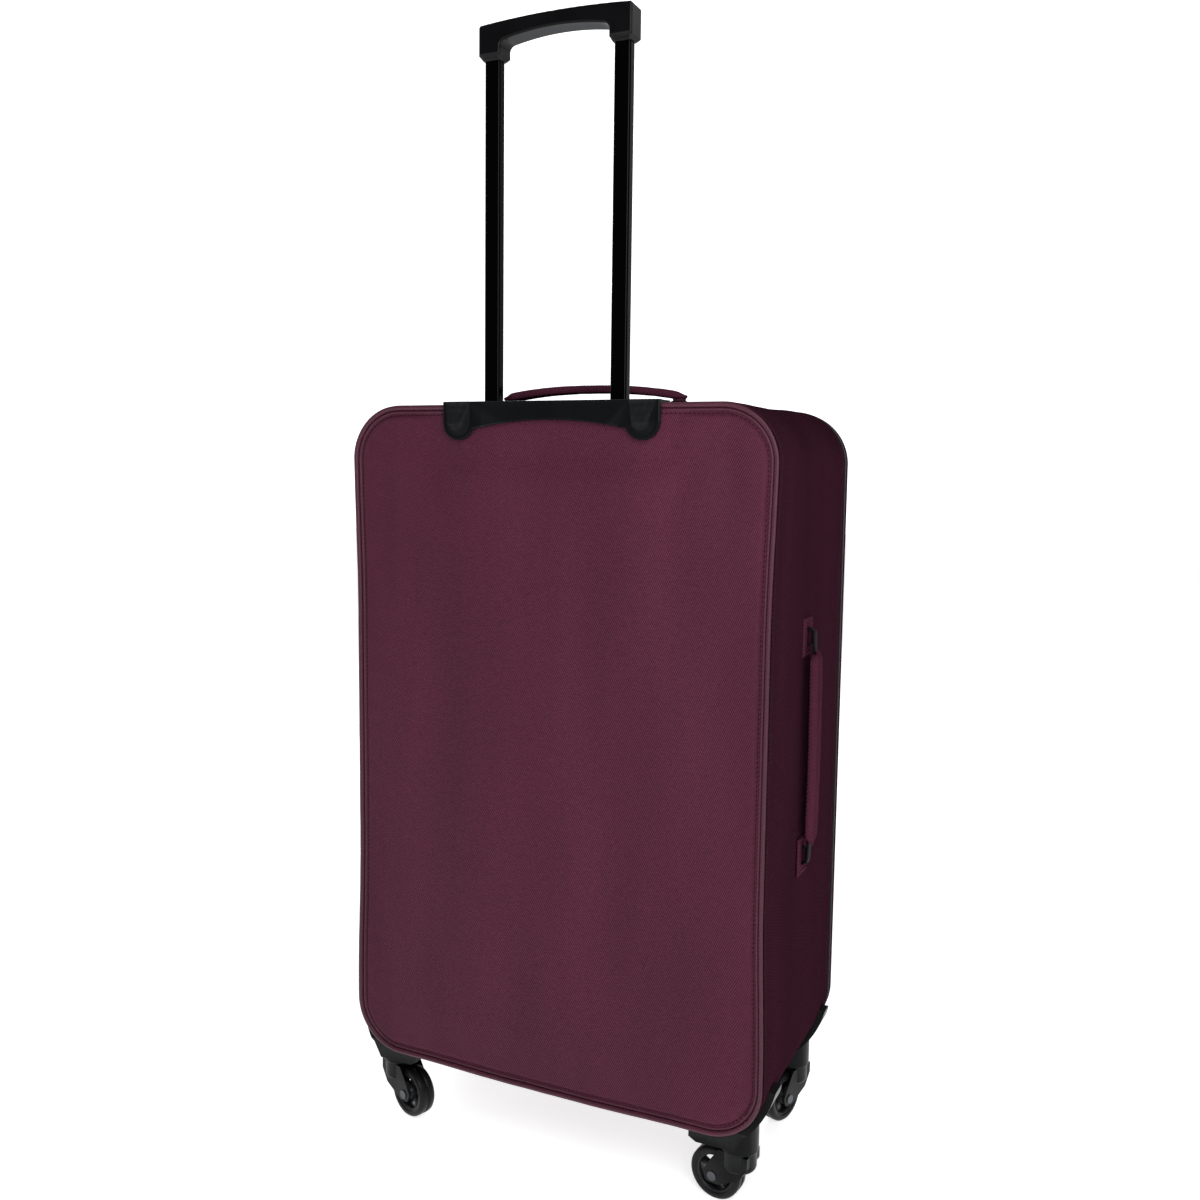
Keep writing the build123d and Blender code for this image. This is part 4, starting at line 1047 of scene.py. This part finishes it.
# ---------------------------------------------------------------- inside
def case_lining():
    """One soft bag: walls with vertical folds, rounded into the back of the compartment."""
    lo, hi = box_of("lining")
    base = HALF_X - hi[0]
    floor_y = hi[1] - 0.2 * MM
    turn_r = 14 * MM
    profile = [(base, y) for y in np.linspace(lo[1], floor_y - turn_r, 34)]
    for k in range(1, 9):
        a = math.pi / 2 * k / 8
        profile.append((base + turn_r * (1 - math.cos(a)), floor_y - turn_r + turn_r * math.sin(a)))
    inset = profile[-1][0] + 6 * MM
    while inset < HALF_X - 3 * MM:
        profile.append((inset, floor_y))
        inset += 6 * MM
    profile.append((HALF_X - PINHOLE, floor_y))
    points, normals = sweep(profile)
    insets = np.repeat([inset for inset, _ in profile], AROUND)
    turn = np.clip((insets - base) / turn_r, 0, 1)[:, None]
    facing = normals * (1 - turn) + turn * np.array([0.0, 1.0, 0.0])
    facing /= np.linalg.norm(facing, axis=1)[:, None]
    wall = smoothstep(floor_y - 2 * MM, floor_y - 20 * MM, points[:, 1])
    from_side = smoothstep(0.03, 0.08, HALF_X - np.abs(points[:, 0]))
    folds = np.abs(waves(points, (0.045, 0.12, 0.03), 41.0)) * 3.2 * MM * wall
    folds += np.abs(waves(points, (0.09, 0.3, 0.12), 43.0)) * 2.2 * MM * (1 - wall) * from_side
    moved = points - facing * folds[:, None]
    mesh = shell(moved, facing, -0.7 * MM, grid_faces(len(profile), AROUND), AROUND)
    obj = add_piece("case_lining", mesh, lining_fabric, "case", "lining_fabric", "lining")
    binding("lining_binding", base + 0.4 * MM, lo[1] + 1.0 * MM, 1.9 * MM, "case")


def binding(name, inset, y, radius, body):
    """A bound edge round a lining."""
    path, _ = ring_at(inset, y)
    add_piece(name, tube_mesh(path[::2], radius, 8), tape_fabric, body, "lining_fabric")


def lining_flat(p, inset):
    return 0.3 * MM + np.abs(waves(p, (0.08, 0.2, 0.1), 51.0)) * 1.6 * MM * smoothstep(0.01, 0.04, inset)


def lid_inside():
    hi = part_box("lid_lining")[1].y - ORIGIN[1]
    obj = sewn_panel("lid_lining_panel", hi - 0.5 * MM, 1, lining_flat, 6.5 * MM, 0.7 * MM, lining_fabric)
    place(obj, "lid", "lining_fabric", "lid_lining")
    binding("lid_lining_binding", 7.2 * MM, hi + 0.6 * MM, 1.5 * MM, "lid")


def packing_straps():
    lo, hi = box_of("tie_straps")
    y = hi[1] - 2.6 * MM
    half = 0.236
    meshes = []
    for turn, lift in ((-32, 0.0), (32, -1.5 * MM)):
        a = math.radians(turn)
        t = np.linspace(-half, half, 70)
        sag = -3.2 * MM * (1 - (t / half) ** 2) + lift * (1 - (t / half) ** 4)
        path = np.column_stack([t * math.sin(a), y + sag, MID_Z + t * math.cos(a)])
        meshes.append(strap_mesh(path, 25 * MM, 1.3 * MM, (math.cos(a), 0, -math.sin(a))))
    straps = add_piece("packing_straps", gather(meshes), strap_webbing, "case", "webbing", "tie_straps")
    block_lo = np.array([-0.029, y - 11.5 * MM, MID_Z - 0.022])
    block_hi = np.array([0.029, y - 5.0 * MM, MID_Z + 0.022])
    mesh = rounded_block(block_lo, block_hi, 0.009, 2.0 * MM)
    add_piece("strap_buckle", mesh, black_plastic, "case", "moulded_black")
    for side, name in ((-1, "a"), (1, "b")):
        bar_z = MID_Z + side * 12 * MM
        lo_bar = (block_lo[0] + 8 * MM, block_lo[1] - 1.2 * MM, bar_z - 3 * MM)
        hi_bar = (block_hi[0] - 8 * MM, block_hi[1], bar_z + 3 * MM)
        mesh = rounded_block(lo_bar, hi_bar, 2.6 * MM, 1.0 * MM)
        add_piece("buckle_rib_" + name, mesh, black_plastic, "case", "moulded_black")


case_lining()
lid_inside()
packing_straps()


# ---------------------------------------------------------------- wheels
def round_axis(axis):
    """Two directions square to a level axis and to each other."""
    side = np.cross(axis, [0, 0, 1.0])
    side /= np.linalg.norm(side)
    return side, np.cross(side, axis)


def lathe(profile, centre, axis, n=72):
    """Closed profile of (along, radius) turned round an axis."""
    side, up = round_axis(axis)
    rows = []
    for k in range(n):
        a = 2 * math.pi * k / n
        spoke = math.cos(a) * side + math.sin(a) * up
        rows += [centre + along * axis + radius * spoke for along, radius in profile]
    return np.array(rows), grid_faces(n, len(profile), wrap_rows=True)


def spoke_block(centre, axis, angle, r0, r1, half_wide, half_thick):
    side, up = round_axis(axis)
    out = math.cos(angle) * side + math.sin(angle) * up
    across = np.cross(axis, out)
    section = ((-1, -0.7), (-0.7, -1), (0.7, -1), (1, -0.7), (1, 0.7), (0.7, 1), (-0.7, 1), (-1, 0.7))
    verts = []
    for r, flare in ((r0, 1.25), (r0 + (r1 - r0) * 0.5, 0.8), (r1, 1.3)):
        for a, b in section:
            verts.append(centre + r * out + a * half_wide * flare * across + b * half_thick * axis)
    return np.array(verts), grid_faces(3, 8) + [tuple(range(8))[::-1], tuple(range(16, 24))]


def mirrored(half):
    """A wheel's section in metres from its first half in millimetres."""
    return [(a * MM, b * MM) for a, b in half + [(-a, b) for a, b in reversed(half)]]


def wheels():
    joints = {j["name"]: j for j in frame["joints"]}
    w, r = 9.0, 25.0
    shoulder = [(-w, r - 3.4), (-w + 0.6, r - 1.6), (-w + 2.2, r - 0.3)]
    groove = [(-2.4, r), (-1.5, r - 0.25), (-0.9, r - 1.3)]
    tyre = mirrored(shoulder + groove) + mirrored([(w - 0.2, r - 6.2), (w - 1.6, r - 7.4)])
    rim = mirrored([(-w + 1.0, 18.3), (-w + 1.4, 16.8), (-w + 4.6, 15.6)])
    hub = mirrored([(-w + 0.3, 3.1), (-w + 0.3, 6.4), (-w + 1.0, 7.3)])
    for corner in CORNERS:
        axis = np.array(joints["wheel_spin_" + corner]["axis"], float)
        lo, hi = box_of("wheel_" + corner)
        centre = (lo + hi) / 2
        own = ("roller_" + corner, "wheel_plastic")
        add_piece("tyre_" + corner, lathe(tyre, centre, axis), tyre_rubber, *own, "wheel_" + corner)
        pieces = [lathe(rim, centre, axis), lathe(hub, centre, axis)]
        for k in range(5):
            angle = 2 * math.pi * k / 5 + 0.3
            pieces.append(spoke_block(centre, axis, angle, 6.9 * MM, 16.4 * MM, 2.3 * MM, 3.4 * MM))
        add_piece("hub_" + corner, gather(pieces), hub_plastic, *own)


CORNERS = ("back_left", "back_right", "front_left", "front_right")
wheels()

# ---------------------------------------------------------------- CAD pieces that stay
pins = ["lock_pin_left", "lock_pin_right"]
sliders = [f"main_{kind}_{side}" for kind in ("slider", "pull") for side in ("left", "right")]
finishes = (
    (black_plastic, ["trolley_bezel", "tube_foot_bracket", "base_tray"]),
    (grip_plastic, ["grip_shell", "release_button"]),
    (grip_rubber, ["grip_insert"]),
    (nylon, ["inner_tube_plugs", "guide_bushes", "release_yoke"]),
    (tube_gloss, ["inner_tube_left", "inner_tube_right"]),
    (tube_metal, ["outer_tube_left", "outer_tube_right"]),
    (steel, ["rim_wire", "kingpins", "caster_screws", "bezel_screws"] + pins),
    (slider_metal, sliders + ["pocket_slider", "pocket_pull"]),
    (board, ["back_board", "lid_board"]),
    (caster_plastic, ["caster_housing_" + c for c in CORNERS] + ["caster_fork_" + c for c in CORNERS]),
    (axle_steel, ["caster_axle_" + c for c in CORNERS]),
)
for material, names in finishes:
    for name in names:
        node = frame["nodes"][name]
        if not node.material_slots:
            node.data.materials.append(material)
        for holder in node.material_slots:
            holder.material = material


# ---------------------------------------------------------------- floor, light and camera
def studio_piece(name, mesh, finish, strength):
    """A white piece of the studio that glows."""
    finish.shader.inputs["Emission Color"].default_value = (1.0, 1.0, 1.0, 1.0)
    finish.shader.inputs["Emission Strength"].default_value = strength
    mesh.materials.append(finish.material)
    obj = bpy.data.objects.new(name, mesh)
    bpy.context.scene.collection.objects.link(obj)
    return obj


FLOOR_HALF = 12.0
floor_corners = [(x * FLOOR_HALF, y * FLOOR_HALF, 0) for x, y in ((-1, -1), (1, -1), (1, 1), (-1, 1))]
floor_mesh = bpy.data.meshes.new("studio_floor")
floor_mesh.from_pydata(floor_corners, [], [(0, 1, 2, 3)])
pale = Finish("pale_floor", roughness=0.9, specular=0.1)
pale.colour(pale.ramp(pale.noise(2.0, 2.0), [(0.3, (0.90, 0.90, 0.90, 1)), (0.7, (0.93, 0.93, 0.93, 1))]))
floor = studio_piece("studio_floor", floor_mesh, pale, 0.72)

# a white dome that the camera sees and that lights nothing
dome_shape = bmesh.new()
bmesh.ops.create_icosphere(dome_shape, subdivisions=4, radius=11.0)
dome_mesh = bpy.data.meshes.new("studio_backdrop")
dome_shape.to_mesh(dome_mesh)
dome_shape.free()
plain = Finish("pale_backdrop", roughness=0.9, specular=0.0)
backdrop = studio_piece("studio_backdrop", dome_mesh, plain, 1.0)
for kind in ("diffuse", "glossy", "transmission", "shadow"):
    setattr(backdrop, "visible_" + kind, False)

# the world is bright on one side and dim on the other
world = bpy.data.worlds.new("studio")
bpy.context.scene.world = world
world.use_nodes = True
tree = world.node_tree
background = tree.nodes["Background"]
background.inputs["Strength"].default_value = 1.0
sky = tree.nodes.new("ShaderNodeTexCoord")
facing = tree.nodes.new("ShaderNodeVectorMath")
facing.operation = "DOT_PRODUCT"
facing.inputs[1].default_value = (0.42, -0.90, 0.0)
glow = tree.nodes.new("ShaderNodeValToRGB")
for element, (position, level) in zip(glow.color_ramp.elements, ((0.45, 0.17), (0.76, 1.0))):
    element.position = position
    element.color = (level, level, level, 1)
tree.links.new(sky.outputs["Generated"], facing.inputs[0])
tree.links.new(facing.outputs["Value"], glow.inputs["Fac"])
tree.links.new(glow.outputs["Color"], background.inputs["Color"])
bpy.context.scene.view_settings.view_transform = "Standard"


def softbox(name, location, target, width, height, power):
    light = bpy.data.lights.new(name, "AREA")
    light.shape = "RECTANGLE"
    light.size, light.size_y, light.energy = width, height, power
    obj = bpy.data.objects.new(name, light)
    obj.location = location
    obj.rotation_euler = (Vector(target) - Vector(location)).to_track_quat("-Z", "Y").to_euler()
    bpy.context.scene.collection.objects.link(obj)


centre = (0.0, 0.0, 0.5)
softbox("key_softbox", (-0.6, 0.95, 1.0), centre, 0.6, 0.8, 9.5)
softbox("fill_softbox", (2.4, 0.5, 1.5), centre, 0.8, 1.2, 6)
softbox("front_softbox", (1.2, -2.2, 1.8), centre, 1.2, 1.2, 26)

camera_data = bpy.data.cameras.new("camera")
camera_data.lens = 35.17
camera_data.sensor_width = 36.0
camera_data.shift_x = 0.0055
camera_data.shift_y = -0.0137
camera_data.clip_start = 0.02
camera = bpy.data.objects.new("camera", camera_data)
bpy.context.scene.collection.objects.link(camera)
azimuth, pitch, roll = math.radians(205.17), math.radians(5.79), math.radians(0.66)
forward = Vector((-math.sin(azimuth) * math.cos(pitch), math.cos(azimuth) * math.cos(pitch), -math.sin(pitch)))
level = Vector((math.cos(azimuth), math.sin(azimuth), 0))
above = level.cross(forward)
right = level * math.cos(roll) + above * math.sin(roll)
upward = above * math.cos(roll) - level * math.sin(roll)
place_at = Vector(ORIGIN) + Vector((-0.4898, 1.0663, 0.6716))
camera.matrix_world = Matrix((
    (right.x, upward.x, -forward.x, place_at.x),
    (right.y, upward.y, -forward.y, place_at.y),
    (right.z, upward.z, -forward.z, place_at.z),
    (0, 0, 0, 1),
))
bpy.context.scene.camera = camera
